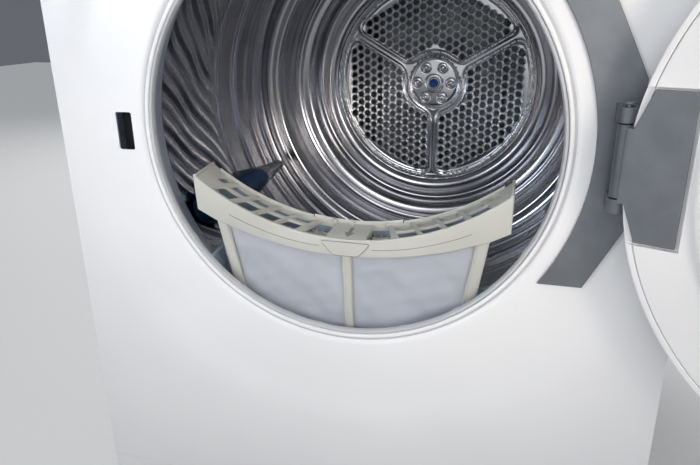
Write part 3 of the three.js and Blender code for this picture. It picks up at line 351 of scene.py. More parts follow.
def makePiece(name, shells, finish, body, replaced=(), angle=35):
    # a piece from shells, with a finish by name, on a body, standing for the replaced frame nodes
    mesh = meshOf(name, shells)
    shadeSmooth(mesh, angle)
    mesh.materials.append(finishes[finish])
    piece = bpy.data.objects.new(name, mesh)
    scene.collection.objects.link(piece)
    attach(piece, body)
    if replaced:
        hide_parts(*replaced)
    return piece


def carve(piece, shells, angle=35):
    # takes each cutter's space out of the piece, one after another
    cutters = [bpy.data.objects.new("cutter", meshOf("cutter", [shell])) for shell in shells]
    for cutter in cutters:
        scene.collection.objects.link(cutter)
        modifier = piece.modifiers.new("cut", "BOOLEAN")
        modifier.object, modifier.operation, modifier.solver = cutter, "DIFFERENCE", "EXACT"
    bpy.context.view_layer.update()
    made = bpy.data.meshes.new_from_object(piece.evaluated_get(bpy.context.evaluated_depsgraph_get()))
    piece.modifiers.clear()
    piece.data = made
    made.name = piece.name
    for cutter in cutters:
        bpy.data.objects.remove(cutter)
    shadeSmooth(made, angle)
    return piece


def refined(node, finish, bevel=0.6, angle=32):
    # a merged copy of a frame node: flat faces joined up, edges eased, round faces shaded smooth
    source = frame["nodes"][node]
    mesh = source.data.copy()
    merged = bmesh.new()
    merged.from_mesh(mesh)
    bmesh.ops.remove_doubles(merged, verts=merged.verts, dist=5e-6)
    bmesh.ops.dissolve_limit(merged, angle_limit=math.radians(0.6), verts=merged.verts, edges=merged.edges)
    merged.to_mesh(mesh)
    merged.free()
    mesh.materials.clear()
    mesh.materials.append(finishes[finish])
    shadeSmooth(mesh, angle)
    piece = bpy.data.objects.new(node + "_finished", mesh)
    scene.collection.objects.link(piece)
    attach(piece, source["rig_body"])
    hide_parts(node)
    if bevel:
        ease = piece.modifiers.new("ease", "BEVEL")
        ease.width, ease.segments, ease.limit_method = bevel * mm, 2, "ANGLE"
        ease.angle_limit, ease.use_clamp_overlap = math.radians(40), True
        ease.harden_normals = True
    return piece


# materials

def newMaterial(name, surface):
    # a principled surface with its even values set on its own sockets
    material = bpy.data.materials.new(name)
    material.use_nodes = True
    tree = material.node_tree
    tree.nodes.clear()
    shader = addNode(tree, "ShaderNodeBsdfPrincipled", surface)
    addNode(tree, "ShaderNodeOutputMaterial", {"Surface": shader.outputs[0]})
    return material, tree, shader


def grain(tree, size, detail=2.0, stretch=(1, 1, 1), mapped=False):
    # noise whose features are size millimetres wide, drawn out by stretch, in space or along the
    # surface's own map
    if mapped:
        where = addNode(tree, "ShaderNodeUVMap", uv_map="surface").outputs[0]
    else:
        where = addNode(tree, "ShaderNodeTexCoord").outputs["Object"]
    laid = addNode(tree, "ShaderNodeMapping", {"Vector": where, "Scale": tuple(1 / s for s in stretch)})
    noise = {"Vector": laid.outputs[0], "Scale": 1 / (size * mm), "Detail": detail}
    return addNode(tree, "ShaderNodeTexNoise", noise).outputs[0]


def sprayedEnamel(name, colour, roughness=0.3):
    # baked enamel on pressed steel: a glossy white with a faint orange peel and hardly any change of tone
    material, tree, shader = newMaterial(name, {
        "Roughness": roughness, "IOR": 1.5, "Coat Weight": 0.25, "Coat Roughness": 0.12})
    addNode(tree, "ShaderNodeValToRGB", {0: grain(tree, 140, 2.0)}, stops=zip((0.3, 0.7), colour),
            into=shader.inputs["Base Color"])
    addNode(tree, "ShaderNodeBump", {"Height": grain(tree, 2.2, 1.0), "Distance": 0.012 * mm, "Strength": 1.0},
            into=shader.inputs["Normal"])
    return material


def mouldedPlastic(name, colour, roughness=0.42, texture=0.02, grainSize=0.9, sheen=0.0, glow=0.0):
    # injection-moulded plastic: a fine spark-eroded grain, a tone that drifts a little, and duller
    # patches where it is handled
    material, tree, shader = newMaterial(name, {"IOR": 1.5, "Sheen Weight": sheen, "Subsurface Weight": glow,
                                                "Subsurface Radius": (0.004, 0.004, 0.004)})
    drift = grain(tree, 60, 2.0)
    addNode(tree, "ShaderNodeValToRGB", {0: drift}, stops=zip((0.3, 0.7), colour),
            into=shader.inputs["Base Color"])
    addNode(tree, "ShaderNodeMapRange", {0: drift, 1: 0.0, 2: 1.0, 3: roughness - 0.06, 4: roughness + 0.06},
            into=shader.inputs["Roughness"])
    addNode(tree, "ShaderNodeBump", {"Height": grain(tree, grainSize, 3.0), "Distance": texture * mm, "Strength": 1.0},
            into=shader.inputs["Normal"])
    return material


def rolledSteel(name, colour, roughness=0.2, mapped=True, streak=0.012):
    # bright-annealed stainless sheet, rolled: faint lines round the drum, a soft mirror, and cloudy
    # handling marks
    material, tree, shader = newMaterial(name, {"Metallic": 1.0})
    lines = grain(tree, 5.0, 1.0, (30, 1, 1) if mapped else (6, 1, 6), mapped)
    cloud = grain(tree, 45, 3.0)
    addNode(tree, "ShaderNodeValToRGB", {0: cloud}, stops=zip((0.3, 0.7), colour),
            into=shader.inputs["Base Color"])
    both = addNode(tree, "ShaderNodeMath", {0: lines, 1: cloud}, operation="MULTIPLY").outputs[0]
    addNode(tree, "ShaderNodeMapRange", {0: both, 1: 0.1, 2: 0.45, 3: roughness - 0.015, 4: roughness + 0.015},
            into=shader.inputs["Roughness"])
    addNode(tree, "ShaderNodeBump", {"Height": lines, "Distance": streak * mm, "Strength": 1.0},
            into=shader.inputs["Normal"])
    return material


def zincSheet(name):
    # hot-dip galvanised sheet: the spangle shows as dull plates of slightly different grey
    material, tree, shader = newMaterial(name, {"Metallic": 0.9})
    where = addNode(tree, "ShaderNodeTexCoord")
    plates = addNode(tree, "ShaderNodeTexVoronoi", {"Vector": where.outputs["Object"],
                                                    "Scale": 1 / (11 * mm)})
    tone = addNode(tree, "ShaderNodeSeparateXYZ", {0: plates.outputs["Color"]})
    addNode(tree, "ShaderNodeValToRGB", {0: tone.outputs["X"]}, stops=zip((0.0, 1.0), ("#9DA2A4", "#BCC1C3")),
            into=shader.inputs["Base Color"])
    addNode(tree, "ShaderNodeMapRange", {0: tone.outputs["Y"], 1: 0.0, 2: 1.0, 3: 0.32, 4: 0.52},
            into=shader.inputs["Roughness"])
    addNode(tree, "ShaderNodeBump", {"Height": grain(tree, 3.0), "Distance": 0.02 * mm, "Strength": 1.0},
            into=shader.inputs["Normal"])
    return material


def castMetal(name, colour, roughness=0.45):
    # die-cast alloy: a grey skin with fine pits, brighter where it rubs
    material, tree, shader = newMaterial(name, {"Metallic": 0.85})
    pits = grain(tree, 1.2, 4.0)
    addNode(tree, "ShaderNodeValToRGB", {0: grain(tree, 25, 3.0)}, stops=zip((0.35, 0.7), colour),
            into=shader.inputs["Base Color"])
    addNode(tree, "ShaderNodeMapRange", {0: pits, 1: 0.0, 2: 1.0, 3: roughness - 0.1, 4: roughness + 0.12},
            into=shader.inputs["Roughness"])
    addNode(tree, "ShaderNodeBump", {"Height": pits, "Distance": 0.05 * mm, "Strength": 1.0},
            into=shader.inputs["Normal"])
    return material


def pressedFelt(name):
    # pressed wool felt: matt, with short fibres lying every way
    material, tree, shader = newMaterial(name, {"Roughness": 0.95, "Sheen Weight": 0.5})
    fibres = grain(tree, 0.7, 5.0, (3, 1, 1), True)
    addNode(tree, "ShaderNodeValToRGB", {0: fibres}, stops=zip((0.35, 0.65), ("#A8A294", "#D6D1C4")),
            into=shader.inputs["Base Color"])
    addNode(tree, "ShaderNodeBump", {"Height": fibres, "Distance": 0.4 * mm, "Strength": 1.0},
            into=shader.inputs["Normal"])
    return material


def wovenMesh(name):
    # monofilament polyester gauze: bluish white, a little see-through, with a silky gleam; the threads
    # are drawn 0.9 mm apart, coarser than the real 0.3 mm, so that they show
    material, tree, shader = newMaterial(name, {
        "Roughness": 0.5, "Sheen Weight": 0.35, "IOR": 1.45, "Transmission Weight": 0.12, "Alpha": 1.0})
    where = addNode(tree, "ShaderNodeUVMap", uv_map="surface").outputs[0]
    threads = [addNode(tree, "ShaderNodeTexWave", {"Vector": where, "Scale": turn / (0.9 * mm) / 20,
                                                   "Distortion": 0.0},
                       wave_type="BANDS", bands_direction=axis) for axis in ("X", "Y")]
    net = addNode(tree, "ShaderNodeMath", {0: threads[0].outputs["Fac"], 1: threads[1].outputs["Fac"]},
                  operation="MAXIMUM")
    addNode(tree, "ShaderNodeValToRGB", {0: grain(tree, 50, 3.0)}, stops=zip((0.2, 0.8), ("#B3B7BF", "#BEC2C9")),
            into=shader.inputs["Base Color"])
    addNode(tree, "ShaderNodeBump", {"Height": net.outputs[0], "Distance": 0.03 * mm, "Strength": 1.0},
            into=shader.inputs["Normal"])
    return material


def tintedGlass(name, colour, clear=0.75):
    # tinted moulded glass: dark, with a hard gloss
    material, tree, shader = newMaterial(name, {
        "Base Color": toLinear(colour), "IOR": 1.5, "Transmission Weight": clear, "Coat Weight": 0.3})
    addNode(tree, "ShaderNodeMapRange", {0: grain(tree, 60, 3.0), 1: 0.0, 2: 1.0, 3: 0.03, 4: 0.09},
            into=shader.inputs["Roughness"])
    addNode(tree, "ShaderNodeBump", {"Height": grain(tree, 30), "Distance": 0.01 * mm, "Strength": 1.0},
            into=shader.inputs["Normal"])
    return material


def drawnCopper(name):
    # drawn copper tube: warm metal, browner where it has tarnished
    material, tree, shader = newMaterial(name, {"Metallic": 1.0})
    tarnish = grain(tree, 12, 4.0)
    addNode(tree, "ShaderNodeValToRGB", {0: tarnish}, stops=zip((0.35, 0.65), ("#8A5232", "#C98458")),
            into=shader.inputs["Base Color"])
    addNode(tree, "ShaderNodeMapRange", {0: tarnish, 1: 0.0, 2: 1.0, 3: 0.25, 4: 0.5},
            into=shader.inputs["Roughness"])
    return material


finishes = {
    "white_enamel": sprayedEnamel("white baked enamel", ("#EBEBEC", "#F0F0F0")),
    "white_plastic": mouldedPlastic("white moulded abs", ("#E9E9EA", "#EFEFEF"), 0.35, 0.008),
    "lip": mouldedPlastic("pale grey moulded lip", ("#B9BBBE", "#C2C4C7"), 0.3, 0.006),
    "grey_plastic": mouldedPlastic("warm grey moulded polypropylene", ("#BDBDB5", "#C5C5BD"), 0.4, 0.010,
                                   0.9, glow=0.03),
    # painted shade: a dark grey for the arrow and the fine lines on the filter's front, where grooves would hold shade
    "groove_shade_plastic": mouldedPlastic("painted groove shade", ("#86867F", "#8E8E87"), 0.5, 0.004),
    # partly painted shade: a darker blue-grey that darkens the deep insides of the filter's cells
    "liner_shade_plastic": mouldedPlastic("blue-grey liner with painted shade", ("#7E8C9B", "#8897A7"), 0.3, 0.006),
    "collar_plastic": mouldedPlastic("blue-grey moulded collar", ("#C9D9EF", "#D6E2F2"), 0.3, 0.006,
                                     glow=0.05),
    "drum_steel": rolledSteel("bright-annealed drum steel", ("#B4B5BA", "#C0C0C4"), 0.2, streak=0.0004),
    "plate_steel": rolledSteel("pressed plate steel", ("#D6D8DB", "#E2E3E5"), 0.2, mapped=False,
                               streak=0.0008),
    "galvanised": zincSheet("galvanised sheet"),
    "black_plastic": mouldedPlastic("black moulded polypropylene", ("#1C1D1F", "#26282A"), 0.5, 0.03, 1.2),
    "lifter_plastic": mouldedPlastic("navy moulded lifter", ("#1B3453", "#254467"), 0.16, 0.003),
    "blue_plastic": mouldedPlastic("blue moulded cap", ("#0E4FB4", "#1A66CC"), 0.3, 0.006),
    "tinted_glass": tintedGlass("tinted door glass", "#3B4657"),
    "display_glass": tintedGlass("black display glass", "#08090B", 0.0),
    "mesh_cloth": wovenMesh("polyester gauze"),
    "rubber": mouldedPlastic("moulded rubber", ("#1A1A1A", "#242424"), 0.75, 0.05, 1.0, sheen=0.1),
    "felt": pressedFelt("pressed felt"),
    "copper": drawnCopper("drawn copper"),
    "cast_metal": castMetal("die-cast alloy", ("#7C8085", "#868A8F")),
    "chromed_knob": castMetal("satin chrome", ("#B9BCC1", "#CDD0D4"), 0.24),
    "knob": mouldedPlastic("white moulded knob", ("#E4E5E7", "#ECEDEE"), 0.32, 0.008),
}
print("materials made")


# front panel, lip, the filter's measures, collar and seal

drumLow, drumHigh = boxOf("drum_shell")
panelLow, panelHigh = boxOf("front_panel")
lipLow, lipHigh = boxOf("opening_lip")
axisPlace = (0.0, (drumLow[2] + drumHigh[2]) / 2)
mouthPlace = (0.0, (lipLow[2] + lipHigh[2]) / 2)
frontPlane = lipLow[1] - 0.6  # the dish's floor

panel = {
    "holeRadius": 205.0,
    "edgeRoll": 2.6,  # how far the edge curls in round the opening
    "slopeStart": 268.0,  # the dish rises between these radii
    "slopeEnd": 306.0,
    "rise": 4.0,
    "sheet": 1.5,
}


def raysToEdge(size, sides):
    # angles all round with the rectangle's corners among them, and how far each ray runs to its edge
    corners = [math.atan2(z, x) % turn for x in (size[0], -size[0]) for z in (size[1], -size[2])]
    angle = np.unique(np.concatenate([np.linspace(0, turn, sides, endpoint=False), corners]))
    toSide = size[0] / np.maximum(np.abs(np.cos(angle)), 1e-6)
    toEnd = np.where(np.sin(angle) > 0, size[1], size[2]) / np.maximum(np.abs(np.sin(angle)), 1e-6)
    return angle, np.minimum(toSide, toEnd)


def buildPanel():
    # rays from the opening's centre to the panel's edge; the height is rise * (3s^2 - 2s^3) over the slope
    p = panel
    angle, reach = raysToEdge([panelHigh[0], panelHigh[2] - mouthPlace[1], mouthPlace[1] - panelLow[2]], 360)
    share = np.concatenate([[0, 0.004, 0.012], np.linspace(0.03, 1, 54)])[:, None]
    radius = p["holeRadius"] + share * (reach - p["holeRadius"])[None, :]
    out = p["rise"] * eased((radius - p["slopeStart"]) / (p["slopeEnd"] - p["slopeStart"]))
    curl = p["edgeRoll"] * np.clip(1 - (radius - p["holeRadius"]) / 3.0, 0, 1) ** 2
    front = np.stack([radius * np.cos(angle), frontPlane - out + curl,
                      mouthPlace[1] + radius * np.sin(angle)], -1)
    back = front.copy()
    back[..., 1] = frontPlane - out + p["sheet"] + curl.clip(0, 1)
    shell = grid(np.concatenate([front, back[::-1]]), True, True)
    piece = makePiece("front_panel_sheet", [shell], "white_enamel", "cabinet",
                      ["front_panel"], 40)
    lock = boxOf("door_lock")
    hole = roundedBox((lock[0][0] + 2, frontPlane - 12, lock[0][2] + 5),
                      (lock[1][0] + 4, frontPlane + 12, lock[1][2] - 5), 2)
    carve(piece, [hole], 40)


lip = {"inner": 195.0, "ringWide": 3.6, "outer": 203.2, "flange": 216.0, "depth": 7.0,
       "clips": (252, 262, 288, 305, 214, 331), "clipHigh": 0.7}


def buildLip():
    # a thin rolled ring whose inner edge stands in at each clip by a bell curve of its angle, with a
    # groove and a white outer bead round it
    p, y = lip, frontPlane
    groove, step = p["inner"] + p["ringWide"], y + 4.2
    bead = softened([(groove + 0.7, y + 1.6, 0.6), (groove + 1.9, y + 0.6, 1.0), (p["outer"], y + 0.7, 1.2),
                     (p["outer"], step - 0.3, 0.3), (groove + 0.7, step - 0.3, 0.3)])
    makePiece("opening_lip_bead", [revolve(bead, 360, mouthPlace)], "white_plastic", "cabinet",
              (), 40)
    profile = softened([
        (p["inner"], step, 1.6), (p["inner"] + 1.2, y + 1.3, 0.9), (groove, y + 1.1, 0.8),
        (groove, step, 0.3),
        (p["outer"], step, 0.2), (p["outer"], y + 2.0, 0.2), (p["flange"], y + 2.0, 0.4),
        (p["flange"], y + 4.7, 0.4),
        (p["outer"], y + 4.7, 0.3), (p["inner"] + 3, y + p["depth"], 0.6), (p["inner"], y + p["depth"], 0.6)])
    sides = 480
    place, quads, layout = revolve(profile, sides, mouthPlace)
    radial = place[:, [0, 2]] - np.array(mouthPlace)
    radius = np.linalg.norm(radial, axis=1)
    angle = np.degrees(np.arctan2(radial[:, 1], radial[:, 0])) % 360
    clips = sum(bell((angle - clip) / 1.1) for clip in p["clips"])
    inner = np.clip((p["inner"] + 5 - radius) / 4, 0, 1)
    pushed = radial * (1 - (p["clipHigh"] * clips * inner / radius))[:, None]
    place[:, [0, 2]] = pushed + np.array(mouthPlace)
    makePiece("opening_lip_ring", [(place, quads, layout)], "lip", "cabinet",
              ["opening_lip"], 40)


def slant(shell, fall, start):
    # sinks each point by fall for every millimetre behind start
    place = shell[0]
    place[:, 2] -= fall * (place[:, 1] - start)
    return shell


filt = {
    "half": 158.0, "arch": 244.0, "windowArc": 343.0, "windowDrop": 19.0, "band": 38.0, "depth": 43.0,
    "wall": 3.0,
    "shoulder": 140.0, "shoulderDrop": 10.0, "foot": 112.0, "height": 165.0, "post": 12.0, "centrePost": 10.0,
    "bar": 12.0, "frontY": 2.5, "rearY": 34.5,
    # degrees it leans back in its slot, and how far it is drawn out of its seat
    "tilt": 5.0, "raised": 100.0,
    "ribs": (0.33, 0.475, 0.62, 0.765, 0.91), "ribLean": 8.0, "cellDeep": 3.6, "tabHalf": 17.0,
    "opening": 0.26,
}


def archAt(x):
    return filt["arch"] - np.sqrt(filt["arch"] ** 2 - np.asarray(x, float) ** 2)


def windowTop(x):
    arc = filt["windowArc"]
    return arc - np.sqrt(arc ** 2 - np.asarray(x, float) ** 2) - filt["windowDrop"]


def inFilter(place, seated=False):
    # turns points from the filter's own frame by its tilt and moves them to where it stands, or to its seat
    p = filt
    tilt, raised = math.radians(p["tilt"]), p["raised"]
    out = np.empty_like(place)
    out[..., 0] = place[..., 0]
    out[..., 1] = place[..., 1] * math.cos(tilt) - place[..., 2] * math.sin(tilt)
    out[..., 2] = place[..., 1] * math.sin(tilt) + place[..., 2] * math.cos(tilt)
    low = boxOf("filter_frame")[0]
    out[..., 1] += low[1] + archAt(p["half"]) * math.sin(tilt)
    out[..., 2] += low[2] + p["height"] * math.cos(tilt) - p["frontY"] * math.sin(tilt)
    if seated:
        out[..., 1] += raised * math.sin(tilt)
        out[..., 2] -= raised * math.cos(tilt)
    return out


def filterShells(shells):
    return [(inFilter(place), faces, layout) for place, faces, layout in shells]


def filterSpace(clear, bottom, top):
    # the slanting block that the lint filter slides through, as an arched prism in the filter's own frame
    half = filt["half"] + clear
    x = np.linspace(-half, half, 41)
    outline = np.concatenate([np.stack([x, archAt(x) + top], -1), [[half, bottom], [-half, bottom]]])
    place, faces, layout = prism(outline, -clear, filt["depth"] + clear)
    return inFilter(place, seated=True), faces, layout


collar = {"mouth": 196.0, "mouthY": 8.0, "throat": 245.0, "throatY": 95.5, "rim": 284.0, "wall": 2.5,
          "rear": 98.0, "plateY": 80.0, "plateThick": 2.0}


def buildCollar():
    # the funnel's radius runs from mouth to throat as an S with two shallow steps; its rear turns out to
    # the rim
    p, y0 = collar, frontPlane
    t = np.linspace(0, 1, 40)
    rise = t + 0.035 * np.sin(turn * t) + 0.012 * np.sin(2 * turn * t)
    deep = p["throatY"] - p["mouthY"]
    y = y0 + p["mouthY"] + t * deep
    r = p["mouth"] + rise * (p["throat"] - p["mouth"])
    inner = np.stack([r, y], -1)
    back = y0 + p["rear"]
    rim = np.array([[p["throat"] + 2, back], [p["rim"] - 1, back], [p["rim"], back - 1],
                    [p["rim"], back - p["wall"]], [p["throat"] + p["wall"] + 1, back - p["wall"]]])
    outer = np.stack([r + p["wall"], y], -1)[::-1][1:]
    profile = np.concatenate([inner, rim, outer])
    fall = (mouthPlace[1] - axisPlace[1]) / deep
    funnel = slant(revolve(profile, 288, mouthPlace), fall, y0 + p["mouthY"])
    # the plate across the cabinet, as rays from the funnel to the plate's edge
    low, high = boxOf("front_bulkhead")
    middle = mouthPlace[1] - fall * (p["plateY"] - p["mouthY"])
    hole = p["mouth"] + 2 + (p["throat"] - p["mouth"]) * (p["plateY"] - p["mouthY"]) / deep
    size = [high[0], 736.0 - middle, middle - 30.0]
    angle, reach = raysToEdge(size, 144)
    radius = np.stack([hole + 0 * reach, 0.5 * (hole + reach), reach])
    flat = np.stack([radius * np.cos(angle), y0 + p["plateY"] + 0 * radius,
                     middle + radius * np.sin(angle)], -1)
    back = flat + np.array([0, p["plateThick"], 0])
    plate = grid(np.concatenate([flat, back[::-1]]), True, True)
    piece = makePiece("collar_and_bulkhead", [funnel, plate], "collar_plastic", "cabinet",
                      ["front_bulkhead"], 40)
    carve(piece, [filterSpace(4.5, -175.0, 60.0)], 40)
    # the rollers' axles
    for node in ("left_roller", "right_roller"):
        a, b = boxOf(node)
        centre = ((a[0] + b[0]) / 2, (a[2] + b[2]) / 2)
        profile = softened([(0, y0 + 81, 0), (4.7, y0 + 81, 0), (4.7, b[1] + 6, 1), (0, b[1] + 6, 0)], 4)
        axle = makePiece(node + "_axle", [revolve(profile, 32, centre)], "collar_plastic", "cabinet")
        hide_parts("front_bulkhead")


def buildFelt():
    low, high = boxOf("front_felt_seal")
    outer = (high[0] - low[0]) / 2
    profile = softened([(outer - 16, low[1], 2), (outer, low[1], 2), (outer, high[1], 2),
                        (outer - 16, high[1], 2)])
    makePiece("felt_ring", [revolve(profile, 180, axisPlace)], "felt", "cabinet",
              ["front_felt_seal"], 50)


buildPanel()
buildLip()
buildCollar()
buildFelt()
print("front made")


# drum

drum = {
    "radius": 286.0, "wall": 1.2, "rimTurn": 14.0,
    "waveFrom": -205.0, "waveTo": -28.0, "waveDepth": 3.8, "waves": 62, "wavePitch": 29.0,
    # rounded beads: place along the drum, depth inwards, half width
    "beads": ((-14.0, 2.2, 3.0), (36.0, 3.0, 3.2), (46.0, 3.0, 3.2), (88.0, 2.0, 8.0), (118.0, 3.2, 3.0),
              (129.0, 3.2, 3.0)),
}


def buildDrumShell():
    # inner radius = radius - wall - beads - waves; a bead is a bell curve along the drum, a wave is a
    # slanting ridge whose line bends to and fro, faded in and out at the ends of its zone
    p = drum
    y = np.linspace(drumLow[1] + 1.2, drumHigh[1], 196)
    sides = 384
    angle = np.linspace(0, turn, sides, endpoint=False)[None, :]
    yy = y[:, None]
    lift = sum(depth * bell((yy - place) / half) for place, depth, half in p["beads"])
    inside = np.clip((yy - p["waveFrom"]) / 18, 0, 1) * np.clip((p["waveTo"] - yy) / 18, 0, 1)
    bend = 0.55 * np.sin(9 * angle + turn * yy / 110)
    phase = p["waves"] * angle - turn * yy / p["wavePitch"] + bend
    ridge = (0.5 + 0.5 * np.cos(phase)) ** 1.6
    swell = 0.75 + 0.25 * np.sin(27 * angle - turn * yy / 120)
    wave = p["waveDepth"] * ridge * swell * inside
    inner = p["radius"] - p["wall"] - lift - wave
    outer = p["radius"] - lift.repeat(sides, 1)
    outer = np.maximum(outer, inner + p["wall"])
    level = yy + 0 * angle
    # the front edge curls inwards
    curl = np.linspace(0, 1, 7)[:, None]
    lipRadius = p["radius"] - p["rimTurn"]
    rimIn = lipRadius + curl * (inner[:1] - lipRadius)
    rimOut = lipRadius + curl[::-1] * (outer[:1] - lipRadius)
    frontY = drumLow[1]
    inY = frontY + 1.2 + 0 * rimIn
    outY = frontY + 0 * rimOut
    radius = np.concatenate([rimIn, inner, outer[::-1], rimOut])
    depth = np.concatenate([inY, level, level[::-1], outY])
    points = np.stack([axisPlace[0] + radius * np.cos(angle), depth, axisPlace[1] + radius * np.sin(angle)],
                      -1)
    makePiece("drum_shell_wall", [grid(points, True, True)], "drum_steel", "drum",
              ["drum_shell"], 60)


def buildDrumBack():
    # the sheet's front face is a soft stepped line; its back is the same line moved by the sheet's
    # thickness
    low, high = boxOf("drum_back")
    y1, y3 = low[1], high[1] - 2
    line = softened([
        (286, y1, 0), (272, y1, 2), (269, y1 - 1.6, 4), (264, y1 - 1.6, 4), (261, y1, 4), (249, y1, 9),
        (243, y1 + 24, 14),
        (240, y1 + 60, 10), (233, y1 + 64, 4), (228, y1 + 62, 4), (214, y1 + 66, 9), (208, y1 + 80, 8),
        (205, y3 - 3, 9), (195, y3 - 3, 6), (186, y3 - 6, 7), (178, y3 - 4.5, 4),
        (172.2, y3 - 0.5, 0)], 7, closed=False)
    heading = np.gradient(line, axis=0)
    heading /= np.linalg.norm(heading, axis=1, keepdims=True)
    behind = line + np.stack([-heading[:, 1], heading[:, 0]], -1) * -1.4
    profile = np.concatenate([line, behind[::-1]])
    makePiece("drum_back_dish", [revolve(profile, 288, axisPlace)], "drum_steel", "drum",
              ["drum_back"], 50)


plate = {
    "inner": 44.4, "outer": 171.4, "pitch": 13.4, "hole": 4.3, "rimWidth": 2.3, "rimHigh": 1.9,
    "spokes": (270, 30, 150), "spokeHalf": 9.0, "sectorInner": 55.0, "sectorOuter": 160.0,
    "sectorRound": 12.0, "ridgeOut": 2.8, "ridgeHalf": 2.6, "ridgeHigh": 3.2, "sheet": 1.1,
    "edgeFrom": 164.5, "edgeWide": 5.5, "edgeHigh": 9.2,
    # points round each edge, and between the rest
    "innerSides": 90, "outerSides": 240, "holeSides": 12, "netStep": 2.3,
}


def sectorDistance(x, z):
    # distance outside the nearest air sector, whose corners are round, and below zero inside it
    p = plate
    radius = np.hypot(x, z)
    angle = np.degrees(np.arctan2(z, x))
    fromSpoke = np.min([np.abs((angle - s + 180) % 360 - 180) for s in p["spokes"]], axis=0)
    aside = radius * np.sin(np.radians(np.minimum(fromSpoke, 90)))
    q = p["sectorRound"]
    over = [p["spokeHalf"] - aside + q, radius - p["sectorOuter"] + q, p["sectorInner"] - radius + q]
    squares = sum(np.clip(v, 0, None) ** 2 for v in over)
    return np.where(squares > 0, np.sqrt(squares) - q, np.max(over, axis=0) - q)


def plateHeight(x, z):
    # how far the sheet stands forward: a rolled ridge round each sector and an upturned outer edge
    p = plate
    away = sectorDistance(x, z)
    radius = np.hypot(x, z)
    ridge = p["ridgeHigh"] * bell((away - p["ridgeOut"]) / p["ridgeHalf"])
    turned = (radius - p["edgeFrom"]) / p["edgeWide"]
    return ridge * (1 - np.clip(turned, 0, 1)) + p["edgeHigh"] * eased(turned)


def circle(radius, sides):
    # points round a circle about the origin
    angle = np.linspace(0, turn, sides, endpoint=False)
    return radius * np.stack([np.cos(angle), np.sin(angle)], -1)


def toNearest(points, holes):
    # distance from each point to the nearest hole's centre
    return np.min([np.hypot(*(points - hole).T) for hole in holes], axis=0)


def buildPlate():
    # holes in staggered rows that start beside both spokes of a sector, each in a rolled rim; the rest is
    # a fine net
    p = plate
    floor = boxOf("perforated_plate")[1][1] - 2.0
    steps = np.arange(-14, 15)
    i, j = (v.ravel() for v in np.meshgrid(steps, steps))
    holes = []
    for spoke in p["spokes"]:
        heading, middle = math.radians(spoke), math.radians(spoke + 60)
        away = (p["spokeHalf"] + p["hole"] + 2.4) / math.sin(math.pi / 3)
        x = away * math.cos(middle) + p["pitch"] * (i * math.cos(heading) + j * math.cos(middle))
        z = away * math.sin(middle) + p["pitch"] * (i * math.sin(heading) + j * math.sin(middle))
        angle = np.degrees(np.arctan2(z, x))
        own = np.abs((angle - spoke - 60 + 180) % 360 - 180) < 60
        fits = own & (sectorDistance(x, z) < -(p["hole"] + 1.3)) & (np.hypot(x, z) < p["sectorOuter"])
        holes.append(np.stack([x[fits], z[fits]], -1))
    holes = np.concatenate(holes)
    # rings of points about each hole: the hole's edge, the crown of its rim and the rim's foot
    count, innerSides, outerSides = p["holeSides"], p["innerSides"], p["outerSides"]
    radii = [p["hole"], p["hole"] + 0.45 * p["rimWidth"], p["hole"] + p["rimWidth"]]
    heights = [0.7, 1.0, 0.0]
    rings = [holes[:, None] + circle(r, count)[None] for r in radii]
    line = np.arange(-172, 172, p["netStep"])
    net = np.stack(np.meshgrid(line, line), -1).reshape(-1, 2)
    radius = np.hypot(*net.T)
    near = toNearest(net, holes)
    keep = (radius > p["inner"] + 1.5) & (radius < p["outer"] - 1.5)
    keep &= near > p["hole"] + p["rimWidth"] + 0.6
    net = net[keep]
    edges = [circle(p["inner"], innerSides), circle(p["outer"], outerSides)]
    groups = [*edges, *(ring.reshape(-1, 2) for ring in rings), net]
    points = np.concatenate(groups)
    starts = np.cumsum([0] + [len(g) for g in groups])
    loops = [np.arange(innerSides), starts[1] + np.arange(outerSides)]
    loops += [starts[2] + k * count + np.arange(count) for k in range(len(holes))]
    fixed = [pair for loop in loops for pair in zip(loop.tolist(), np.roll(loop, -1).tolist())]
    made = geometry.delaunay_2d_cdt([Vector(v) for v in points.tolist()], fixed, [], 0, 1e-4)
    flat = np.array([v[:] for v in made[0]])
    faces = np.array([f for f in made[2] if len(f) == 3])
    centre = flat[faces].mean(1)
    radius = np.hypot(*centre.T)
    near = toNearest(centre, holes)
    faces = faces[(radius > p["inner"] - 0.2) & (radius < p["outer"] + 0.2) & (near > p["hole"] * 0.98)]
    high = plateHeight(flat[:, 0], flat[:, 1])
    high += p["rimHigh"] * np.interp(toNearest(flat, holes), radii, heights)
    place = np.stack([axisPlace[0] + flat[:, 0], floor - high, axisPlace[1] + flat[:, 1]], -1)
    corners = [place[faces[:, n]] for n in range(3)]
    facing = np.cross(corners[1] - corners[0], corners[2] - corners[0])[:, 1]
    faces[facing > 0] = faces[facing > 0][:, ::-1]
    piece = makePiece("air_plate", [(place, faces, None)], "plate_steel", "drum",
                      ["perforated_plate"], 60)
    thick = piece.modifiers.new("sheet", "SOLIDIFY")
    thick.thickness, thick.offset = p["sheet"] * mm, -1


hub = {"rivetCircle": 29.0, "rivet": 5.6, "boss": 14.0, "capRadius": 7.5}


